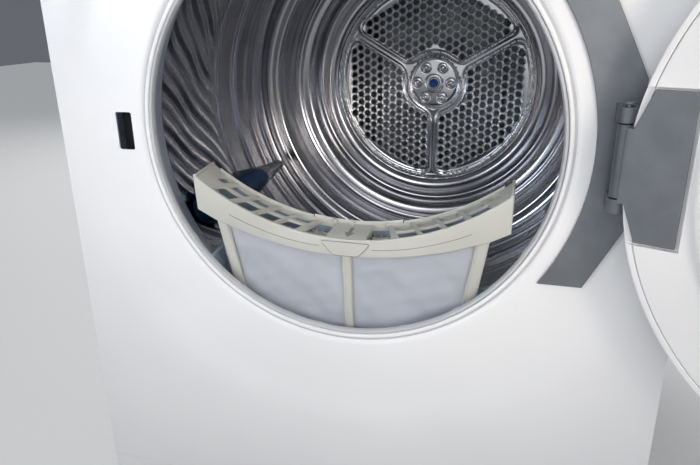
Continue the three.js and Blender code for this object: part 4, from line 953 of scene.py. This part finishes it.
def buildHub():
    # a disc whose face falls away to its edge, with a round recess about each of six domed rivets and a
    # raised boss
    p = hub
    low, high = boxOf("drum_hub")
    face = low[1] + 3.0
    radius = np.concatenate([np.linspace(0.0, 43.0, 44), [43.6, 44.0]])[:, None]
    angle = np.linspace(0, turn, 180, endpoint=False)[None, :]
    x, z = radius * np.cos(angle), radius * np.sin(angle)
    turns = [k * turn / 6 for k in range(6)]
    spots = [(p["rivetCircle"] * math.cos(a), p["rivetCircle"] * math.sin(a)) for a in turns]
    near = np.min([np.hypot(x - a, z - b) for a, b in spots], axis=0)
    y = face - 0.4 + 2.4 * np.clip((radius - 36) / 8, 0, 1) ** 2 + 0 * angle
    y = y + 1.7 * (1 - np.clip((near - 6.6) / 2.6, 0, 1) ** 2) * (near < 9.2)
    y = y - 1.6 * eased((p["boss"] + 3 - radius) / 4)
    front = np.stack([axisPlace[0] + x, y, axisPlace[1] + z], -1)
    back = front[::-1].copy()
    back[..., 1] = high[1]
    shells = [grid(np.concatenate([front, back]), True, True)]
    for a, b in spots:
        t = np.linspace(0, math.pi / 2, 8)
        dome = np.stack([p["rivet"] * np.sin(t), face + 1.0 - 3.4 * np.cos(t)], -1)
        ringLine = [(p["rivet"] + 1.2, face + 1.2), (p["rivet"] + 1.2, face + 2.5), (0, face + 2.5)]
        shells.append(revolve(np.concatenate([dome, ringLine]), 24, (axisPlace[0] + a, axisPlace[1] + b)))
    makePiece("drum_hub_plate", shells, "plate_steel", "drum", ["drum_hub"], 40)
    capLow, capHigh = boxOf("hub_cap")
    r = p["capRadius"]
    profile = softened([(0, capLow[1] + 1.2, 0), (3.2, capLow[1] + 1.2, 1), (3.8, capLow[1], 0.8),
                        (r - 0.6, capLow[1], 2), (r - 0.3, capHigh[1], 0.3), (0, capHigh[1], 0)], 5)
    makePiece("hub_cap_moulded", [revolve(profile, 48, axisPlace)], "blue_plastic", "drum",
              ["hub_cap"])
    ringProfile = softened([(r + 0.1, capLow[1] + 0.4, 0.8), (r + 2.6, capLow[1] + 0.6, 1),
                            (r + 3.4, capHigh[1], 0.4), (r + 0.1, capHigh[1], 0.2)], 5)
    makePiece("hub_cap_ring", [revolve(ringProfile, 60, axisPlace)], "chromed_knob", "drum")


lifter = {"angles": (297.5, 57.5, 177.5), "base": 277.3, "height": 44.0, "half": 26.0}


def buildLifters():
    # sections along the drum: a bell-shaped fin whose height swells, steps down to a slim tail and closes
    # at both tips
    p = lifter
    for number, turned in enumerate(p["angles"], 1):
        node = f"lifter_{number}"
        low, high = boxOf(node)
        s = np.linspace(0, 1, 64)
        y = low[1] + s * (high[1] - low[1])
        ends = np.sqrt(1 - np.clip((s - 0.93) / 0.07, 0, 1) ** 2)
        ends = ends * np.sqrt(1 - np.clip((0.05 - s) / 0.05, 0, 1) ** 2)
        body = np.interp(s, [0, 0.16, 0.55, 0.68, 0.95, 1], [0.3, 0.95, 1.0, 0.86, 0.62, 0.5])
        tall = p["height"] * body * np.maximum(ends, 0.02)
        wide = p["half"] * np.interp(s, [0, 0.15, 0.5, 0.72, 1],
                                     [0.55, 1.0, 0.98, 0.62, 0.36]) * np.maximum(ends, 0.02)
        v = np.linspace(-1, 1, 41)[None, :]
        # height across the fin: 1 - e^(-3.4 (1 - |v|)), which climbs steeply from each foot to a broad
        # crown
        across = wide[:, None] * v
        shape = 1 - np.exp(-3.4 * (1 - np.abs(v)))
        shape = (shape - shape.min()) / (shape.max() - shape.min())
        shape = shape ** 0.9
        up = tall[:, None] * shape
        under = np.zeros((len(s), 1))
        across = np.concatenate([across, 0 * under], 1)
        up = np.concatenate([up, under - 0.2], 1)
        radial = -(p["base"] - up)
        polar = math.radians(turned)
        # the fin is worked out hanging below the axis and turned to its place
        x = across * math.cos(polar) - radial * math.sin(polar)
        z = across * math.sin(polar) + radial * math.cos(polar)
        place = np.stack([axisPlace[0] + x, y[:, None] + 0 * x, axisPlace[1] + z], -1)
        makePiece(f"lifter_{number}_fin", [loft(place)], "lifter_plastic", "drum", [node],
                  50)


buildDrumShell()
buildDrumBack()
buildPlate()
buildHub()
buildLifters()
print("drum made")


# lint filter

def wallStrip(x, low, high, y0, y1, radius=1.0):
    # an upright wall along x between two heights, with rounded edges
    turnAngle = (np.arange(4)[:, None] * math.pi / 2 + np.linspace(0, math.pi / 2, 4)[None, :]).ravel()
    middle = np.repeat(np.arange(4) * math.pi / 2 + math.pi / 4, 4)
    halfY, halfZ = (y1 - y0) / 2, (high - low) / 2
    small = np.minimum(radius, 0.49 * np.minimum(halfY * 2, halfZ * 2))[:, None]
    y = (y0 + y1) / 2 + np.sign(np.cos(middle)) * (halfY - small) + small * np.cos(turnAngle)
    offset = np.sign(np.sin(middle)) * (halfZ[:, None] - small)
    z = ((low + high) / 2)[:, None] + offset + small * np.sin(turnAngle)
    return loft(np.stack([x[:, None] + 0 * y, y, z], -1))


def uprightPrism(outline, z0, z1):
    # an outline in X and Y with a flat face at each height
    place, faces, layout = prism(outline, z0, z1)
    return place[:, [0, 2, 1]], [face[::-1] for face in faces], layout


def cellCutter(a, b, leanA, leanB, y0, y1):
    # a slanting four-sided cell with rounded corners, tall enough to pass through the top
    corners = softened([(a, y0, 1.6), (b, y0, 1.6), (b + leanB, y1, 1.6), (a + leanA, y1, 1.6)], 4)
    middle = float(archAt((a + b + leanA) / 2))
    return uprightPrism(corners, middle - 30, middle + 22)


def bandBottom(x):
    # lower edge of the arched band: the windows' arc, then a straight run out to the end
    p = filt
    endFoot = archAt(p["half"]) - p["band"]
    inner = p["shoulder"] - p["post"]
    outer = np.interp(np.abs(x), [inner, p["shoulder"], p["half"]],
                      [windowTop(inner), endFoot - p["shoulderDrop"], endFoot])
    return np.where(np.abs(x) < inner, windowTop(np.minimum(np.abs(x), inner)), outer)


def post(xLow, xHigh, zLow, zHigh, y0, y1, radius=1.0):
    # an upright bar whose two sides are given at its foot and head
    t = np.linspace(0, 1, 12)
    z = zLow + t * (zHigh - zLow)
    left = np.interp(t, [0, 1], [xLow[0], xHigh[0]])
    right = np.interp(t, [0, 1], [xLow[1], xHigh[1]])
    section = roundedSection(2, y1 - y0, radius)
    x = ((left + right) / 2)[:, None] + ((right - left) / 2)[:, None] * section[:, 0]
    return loft(np.stack([x, (y0 + y1) / 2 + section[None, :, 1] + 0 * x, z[:, None] + 0 * x], -1))


def buildFilter():
    p = filt
    x = np.linspace(-p["half"], p["half"], 121)
    shells = [wallStrip(x, bandBottom(x), archAt(x), 0, p["wall"], 1.1)]
    # the rear wall of the band, and the long flap that stands above it in three lengths
    shells.append(wallStrip(x, bandBottom(x) + 1, archAt(x) - 1, p["depth"] - p["wall"], p["depth"], 1.0))
    for a, b in ((-148, -46), (-44.5, 50), (51.5, 148)):
        part = np.linspace(a, b, 40)
        high = archAt(part) + (3.0 if a == -44.5 else 1.6)
        shells.append(wallStrip(part, archAt(part) - 2, high, p["depth"] - 2.4, p["depth"] - 0.6, 0.8))
    for hinge in (-22, -4, 36):
        shells.append(roundedBox((hinge - 3, p["depth"] - 5, -1), (hinge + 3, p["depth"] - 1.6, 4), 0.8))
    # grey-blue liners inside the long walls, darker than the walls: partly the plastic's own blue-grey, partly painted
    # shade for the deep cells
    liners = []
    for y0 in (p["wall"] + 0.1, p["depth"] - p["wall"] - 0.9):
        liners.append(wallStrip(x[2:-2], bandBottom(x[2:-2]) + 2, archAt(x[2:-2]) - 7.2, y0, y0 + 0.8, 0.3))
    makePiece("filter_shaded_liner", filterShells(liners),
              "liner_shade_plastic", "lint_filter")
    # the ends
    endLow, endHigh = archAt(p["half"]) - p["band"], archAt(p["half"])
    for side in (-1, 1):
        a, b = sorted((side * p["half"], side * (p["half"] - p["wall"])))
        shells.append(roundedBox((a, 0.2, endLow + 0.5), (b, p["depth"] - 0.2, endHigh - 0.2), 1.0))
    # the top between the walls: a thick arched strip, opened by two rows of slanting cells with rounded
    # corners
    inner = np.linspace(-p["half"] + 2, p["half"] - 2, 161)
    strip = wallStrip(inner, archAt(inner) - p["cellDeep"], archAt(inner) - 0.6, 1.5, p["depth"] - 1.2, 0.8)
    rows = ((p["wall"] + 0.8, p["depth"] / 2 - 1.7), (p["depth"] / 2 + 1.7, p["depth"] - p["wall"] - 0.8))
    cells = []
    for side in (-1, 1):
        for row, (y0, y1) in enumerate(rows):
            shares = p["ribs"] + ((0.995,) if row else ())
            for first, last in zip(shares[:-1], shares[1:]):
                shift = -side * p["ribLean"] * row
                a, b = sorted((side * first * p["half"] + shift, side * last * p["half"] + shift))
                lean = -side * p["ribLean"] * 0.85
                cells.append(cellCutter(a + 1.9, b - 1.9, lean, lean, y0, y1))
        # the large opening beside the tab: only its outer side slants
        ends = sorted([(side * (p["tabHalf"] + 3.2), 0), (side * (p["tabHalf"] + 29), -side * 10.0)])
        (a, leanA), (b, leanB) = ends
        cells.append(cellCutter(a, b, leanA, leanB, rows[0][0], rows[1][1]))
    top = makePiece("filter_top_grid", filterShells([strip]), "grey_plastic", "lint_filter",
                    (), 40)
    carve(top, filterShells(cells), 40)
    for n in range(5):
        # glossy bars seen through the large openings
        y = 7 + 6.5 * n
        for side in (-1, 1):
            a, b = sorted((side * (p["tabHalf"] + 2), side * (p["opening"] * p["half"] + 8)))
            shells.append(roundedBox((a, y, -17 + 0.8 * n), (b, y + 2.4, -14.5 + 0.8 * n), 0.9))
    # the tab that a finger presses, with its raised edges, and a net of bars under the openings
    tab = p["tabHalf"]
    shells.append(roundedBox((-tab, 1.5, -9), (tab, p["depth"] - 2, -1.4), 1.6))
    for side in (-1, 1):
        shells.append(roundedBox((side * tab - 1.6, 2, -12), (side * tab + 1.6, p["depth"] - 3, -0.9), 1.4))
    for y in np.linspace(8, p["depth"] - 8, 5):
        rungs = np.linspace(-46, 46, 24)
        path = np.stack([rungs, np.full(24, y), windowTop(rungs) + 6], -1)
        shells.append(sweep(path, roundedSection(1.6, 1.6, 0.7)))
    for xBar in np.linspace(-42, 42, 13):
        path = np.stack([np.full(4, xBar), np.linspace(3, p["depth"] - 3, 4),
                         np.full(4, windowTop(xBar) + 7)], -1)
        shells.append(sweep(path, roundedSection(1.4, 1.4, 0.6)))
    # an arrow that points to the front, raised on the tab in a dark grey that paints the shade of a sunk arrow
    arrow = [(-1.7, 30), (-1.7, 18), (-5.4, 18), (0, 8), (5.4, 18), (1.7, 18), (1.7, 30)]
    grooveShades = [uprightPrism(arrow, -1.0, -0.2)]
    # the shallow trapezoid on the front, with a small moulded ring
    outline = [(-26, -2.5), (26, -2.5), (13, -17.5), (-13, -17.5)]
    boss = softened([(a, b, 3.5) for a, b in outline], 5)
    shells.append(prism(boss, -0.9, 0.6))
    # fine dark lines round the boss and from it up to each shoulder, painted shade that stands in for grooves
    grooveShades.append(sweep(np.insert(np.roll(boss, -1, axis=0), 1, -0.75, axis=1), roundedSection(0.9, 0.7, 0.3)))
    t = np.linspace(0, 1, 24)
    for side in (-1, 1):
        line = np.stack([side * (27 + 96 * t), 0.1 + 0 * t, -9 + 5 * t + 21 * t * t], -1)
        grooveShades.append(sweep(line, roundedSection(0.9, 0.7, 0.3)))
    # the arrow and the lines get the dark grey of painted groove shade
    makePiece("filter_groove_shades", filterShells(grooveShades),
              "groove_shade_plastic", "lint_filter")
    shells.append(revolve(softened([(2.6, -1.2, 0.3), (3.6, -1.2, 0.3), (3.6, 0, 0), (2.6, 0, 0)], 3), 32,
                          (0, -10.5)))
    # the body: a front and a rear frame of posts and bars, joined by closed sides
    low, high = -p["height"], archAt(p["half"]) - p["band"] - p["shoulderDrop"]
    for y0, y1 in ((p["frontY"], p["frontY"] + 3), (p["rearY"] - 3, p["rearY"])):
        for side in (-1, 1):
            foot = sorted((side * p["foot"], side * (p["foot"] - p["post"])))
            head = sorted((side * p["shoulder"], side * (p["shoulder"] - p["post"])))
            shells.append(post(foot, head, low, high + 4, y0, y1, 1.0))
        c = p["centrePost"] / 2
        shells.append(post((-c, c), (-c, c), low, -17, y0, y1, 0.8))
        for ridge in (-3.3, 3.3):
            shells.append(post((ridge - 1.1, ridge + 1.1), (ridge - 1.1, ridge + 1.1), low, -18, y0 - 0.9,
                               y0 + 1, 0.8))
        across, flat = np.linspace(-p["foot"] - 1.5, p["foot"] + 1.5, 30), np.zeros(30)
        shells.append(wallStrip(across, low + flat, low + p["bar"] + flat, y0, y1, 1.0))
    for side in (-1, 1):
        foot = sorted((side * p["foot"], side * (p["foot"] - 3)))
        head = sorted((side * p["shoulder"], side * (p["shoulder"] - 3)))
        shells.append(post(foot, head, low, high + 2, p["frontY"] + 0.5, p["rearY"] - 0.5, 1.0))
        # a thin bead along the inner edge of each post
        foot = sorted((side * (p["foot"] - p["post"]), side * (p["foot"] - p["post"] + 1.8)))
        head = sorted((side * (p["shoulder"] - p["post"]), side * (p["shoulder"] - p["post"] + 1.8)))
        shells.append(post(foot, head, low + 11, high - 3, p["frontY"] - 0.8, p["frontY"] + 1, 0.7))
    across = np.linspace(-p["foot"], p["foot"], 30)
    shells.append(wallStrip(across, low + flat, low + 3 + flat, p["frontY"] + 0.5, p["rearY"] - 0.5, 1.0))
    makePiece("filter_frame_moulding", filterShells(shells), "grey_plastic", "lint_filter",
              ["filter_frame"], 40)

    # two stretched panels of gauze with soft wrinkles: a sum of slanting waves that dies away at the frame
    for name, y in (("front", p["frontY"] + 3.4), ("rear", p["rearY"] - 3.8)):
        u, v = np.meshgrid(np.linspace(-1, 1, 121), np.linspace(0, 1, 81))
        xs = u * (p["foot"] - 4 + v * (p["shoulder"] - 7 - p["foot"] + 4))
        zLow = low + 8
        zs = zLow + v * (windowTop(xs) + 2 - zLow)
        toFrame = [(1 - np.abs(u)) * 8, v * 8, (1 - v) * 8, np.abs(xs) / 14]
        held = np.prod(np.clip(toFrame, 0, 1), axis=0)
        sway = 0.055 * xs + 0.10 * zs + 0.8 * np.sin(0.03 * zs)
        pull = 0.9 * np.sin(sway) + 0.7 * np.sin(0.09 * xs - 0.05 * zs + 1.3)
        pull += 0.35 * np.sin(0.21 * xs + 0.17 * zs + np.sin(0.05 * xs)) + 0.3 * np.sin(0.33 * zs - 0.1 * xs)
        ys = y + 1.1 * pull * held
        gauze = grid(np.stack([xs, ys, zs], -1))
        cloth = makePiece(f"gauze_{name}", filterShells([gauze]), "mesh_cloth", "lint_filter",
                          [f"filter_mesh_{name}"], 180)


buildFilter()
print("lint filter made")


# door

def swing(shell, pivot, degrees=160.0):
    # turns a shell that was drawn shut about the upright line through the hinge pin
    place, faces, layout = shell
    a = math.radians(degrees)
    x, y = place[:, 0] - pivot[0], place[:, 1] - pivot[1]
    across = pivot[0] + x * math.cos(a) - y * math.sin(a)
    along = pivot[1] + x * math.sin(a) + y * math.cos(a)
    return np.stack([across, along, place[:, 2]], -1), faces, layout


door = {"radius": 232.0, "back": -5.0, "face": -42.0, "ringWidth": 44.0, "linerInner": 150.0, "glass": 4.0,
        "dome": 9.0}


def buildDoor():
    p, y = door, frontPlane
    pinLow, pinHigh = boxOf("hinge_pin")
    pivot = ((pinLow[0] + pinHigh[0]) / 2, (pinLow[1] + pinHigh[1]) / 2)
    r, face, back = p["radius"], p["face"], p["back"]
    inner = r - p["ringWidth"]
    leafSeat = roundedBox((r - 46, y + back - 4, mouthPlace[1] - 60),
                          (pivot[0] + 14, y + 1, mouthPlace[1] + 60), 0.5)
    pocket = roundedBox((pivot[0] - 16, pivot[1] - 12, mouthPlace[1] - 29.5),
                        (pivot[0] + 12, y + 1, mouthPlace[1] + 29.5), 0.5)
    cutters = [swing(leafSeat, pivot), swing(pocket, pivot)]
    ring = softened([
        (inner, y + face + 3, 2), (inner + 6, y + face, 4), (r - 16, y + face, 10), (r, y + face + 12, 12),
        (r, y + back, 1.6),
        (r - 5, y + back, 0.6), (r - 5, y + face + 14, 3), (inner + 3, y + face + 10, 2),
        (inner + 3, y + back - 10, 1), (inner, y + back - 10, 0.8)], 7)
    piece = makePiece("door_ring_moulding", [swing(revolve(ring, 192, mouthPlace), pivot)], "white_plastic",
                      "door", ["door_ring"], 40)
    carve(piece, cutters, 40)
    rim = inner - 0.4
    t = np.linspace(0, 1, 24)
    outside = y + face + 5 - p["dome"] * (1 - t ** 2)
    inside = outside + p["glass"]
    profile = np.concatenate([np.stack([rim * t, outside], -1), np.stack([rim * t, inside], -1)[::-1]])
    makePiece("door_glass_pane", [swing(revolve(profile, 144, mouthPlace), pivot)], "tinted_glass", "door",
              ["door_glass"], 40)
    a, b = p["linerInner"], r - 5.4
    liner = softened([
        (a, y + back - 9, 1), (b, y + back - 9, 1), (b, y + back, 1.5), (a + 38, y + back, 5),
        (a + 30, y + back + 5, 5), (a, y + back + 5, 2)], 7)
    piece = makePiece("door_liner_moulding", [swing(revolve(liner, 192, mouthPlace), pivot)],
                      "white_plastic", "door", ["door_liner"], 40)
    carve(piece, cutters, 40)
    rim = a - 0.4
    s = np.linspace(0, 1, 24)
    front = y + back + 6 - 8 + 4.0 * s ** 2.5
    profile = np.concatenate([np.stack([rim * s, front], -1), np.stack([rim * s, front - 4], -1)[::-1]])
    makePiece("door_bowl_glass", [swing(revolve(profile, 144, mouthPlace), pivot)], "tinted_glass", "door",
              ["door_bowl"], 40)


buildDoor()
print("door made")


# everything else keeps its shape and gets its edges and finish

plainNodes = {
    # node: finish, bevel in millimetres
    "base_pan": ("black_plastic", 1.0),
    "front_left_foot": ("rubber", 0.8),
    "front_right_foot": ("rubber", 0.8),
    "rear_left_foot": ("rubber", 0.8),
    "rear_right_foot": ("rubber", 0.8),
    "left_side_panel": ("white_enamel", 0.6),
    "right_side_panel": ("white_enamel", 0.6),
    "rear_panel": ("galvanised", 0.4),
    "cord_gland": ("black_plastic", 0.8),
    "top_cover": ("white_enamel", 3.0),
    "lower_grille": ("white_plastic", 0.7),
    "moisture_sensor": ("plate_steel", 0.5),
    "filter_slot": ("collar_plastic", 0.4),
    "drum_shaft": ("cast_metal", 0.6),
    "bearing_housing": ("cast_metal", 0.8),
    "rear_air_duct": ("galvanised", 1.0),
    "left_roller": ("rubber", 0.5),
    "right_roller": ("rubber", 0.5),
    "motor_pulley": ("cast_metal", 0.4),
    "drive_motor": ("cast_metal", 1.0),
    "blower_wheel": ("black_plastic", 0.4),
    "fan_housing": ("black_plastic", 0.6),
    "drum_belt": ("rubber", 0.3),
    "idler_pulley": ("white_plastic", 0.6),
    "idler_arm": ("galvanised", 0.5),
    "evaporator": ("cast_metal", 0.4),
    "condenser_coil": ("cast_metal", 0.4),
    "compressor": ("black_plastic", 2.0),
    "refrigerant_pipe": ("copper", 0.0),
    "condensate_pump": ("black_plastic", 1.5),
    "condensate_hose": ("rubber", 0.0),
    "control_panel": ("white_plastic", 1.2),
    "display_window": ("display_glass", 0.6),
    "start_button": ("chromed_knob", 0.8),
    "water_tank": ("white_plastic", 1.2),
    "hinge_bracket": ("cast_metal", 0.6),
    "hinge_pin": ("cast_metal", 0.4),
    "door_hinge_arm": ("cast_metal", 0.5),
    "door_hook": ("grey_plastic", 0.4),
    "door_lock": ("black_plastic", 0.8),
}
for node, (finish, bevel) in plainNodes.items():
    refined(node, finish, bevel)


def buildKnob():
    # a knob with a skirt and 36 flutes: its radius falls by a narrow bell at each flute
    low, high = boxOf("selector_knob")
    centre = ((low[0] + high[0]) / 2, (low[2] + high[2]) / 2)
    y0, y1 = low[1], high[1] - 12
    profile = softened([(0, y0, 0), (23, y0, 3), (26.4, y0 + 3, 2), (27, y1 - 4.5, 1), (30.6, y1 - 3.6, 1),
                        (31, y1, 0.4), (5, y1, 0.2), (5, y1 + 12, 0.4), (0, y1 + 12, 0)], 6)
    place, quads, layout = revolve(profile, 288, centre)
    radial = place[:, [0, 2]] - np.array(centre)
    radius = np.linalg.norm(radial, axis=1)
    angle = np.arctan2(radial[:, 1], radial[:, 0])
    flute = (0.5 + 0.5 * np.cos(36 * angle)) ** 6 * 0.9 * np.clip((radius - 24) / 2, 0, 1)
    flute = flute * (place[:, 1] < y1 - 4.2)
    place[:, [0, 2]] = np.array(centre) + radial * (1 - flute / np.maximum(radius, 1))[:, None]
    makePiece("selector_knob_turned", [(place, quads, layout)], "knob", "knob",
              ["selector_knob"], 40)
    mark = roundedBox((centre[0] - 0.9, y0 - 0.3, centre[1] + 13),
                      (centre[0] + 0.9, y0 + 1, centre[1] + 22), 0.4)
    makePiece("selector_knob_mark", [mark], "black_plastic", "knob")


buildKnob()
print("cabinet and works made")

# floor

floorData = bpy.data.meshes.new("floor")
floorHigh = cadLow[2]
floorData.from_pydata([(x, y, floorHigh) for x, y in ((-6, -6), (6, -6), (6, 6), (-6, 6))], [],
                      [(0, 1, 2, 3)])
floor = bpy.data.objects.new("floor", floorData)
scene.collection.objects.link(floor)
floorMaterial, floorTree, floorShader = newMaterial("pale studio floor",
                                                    {"Base Color": toLinear(studio["floor"]),
                                                     "Roughness": 0.6})
addNode(floorTree, "ShaderNodeBump", {"Height": grain(floorTree, 4), "Distance": 0.05 * mm, "Strength": 1.0},
        into=floorShader.inputs["Normal"])
floorData.materials.append(floorMaterial)
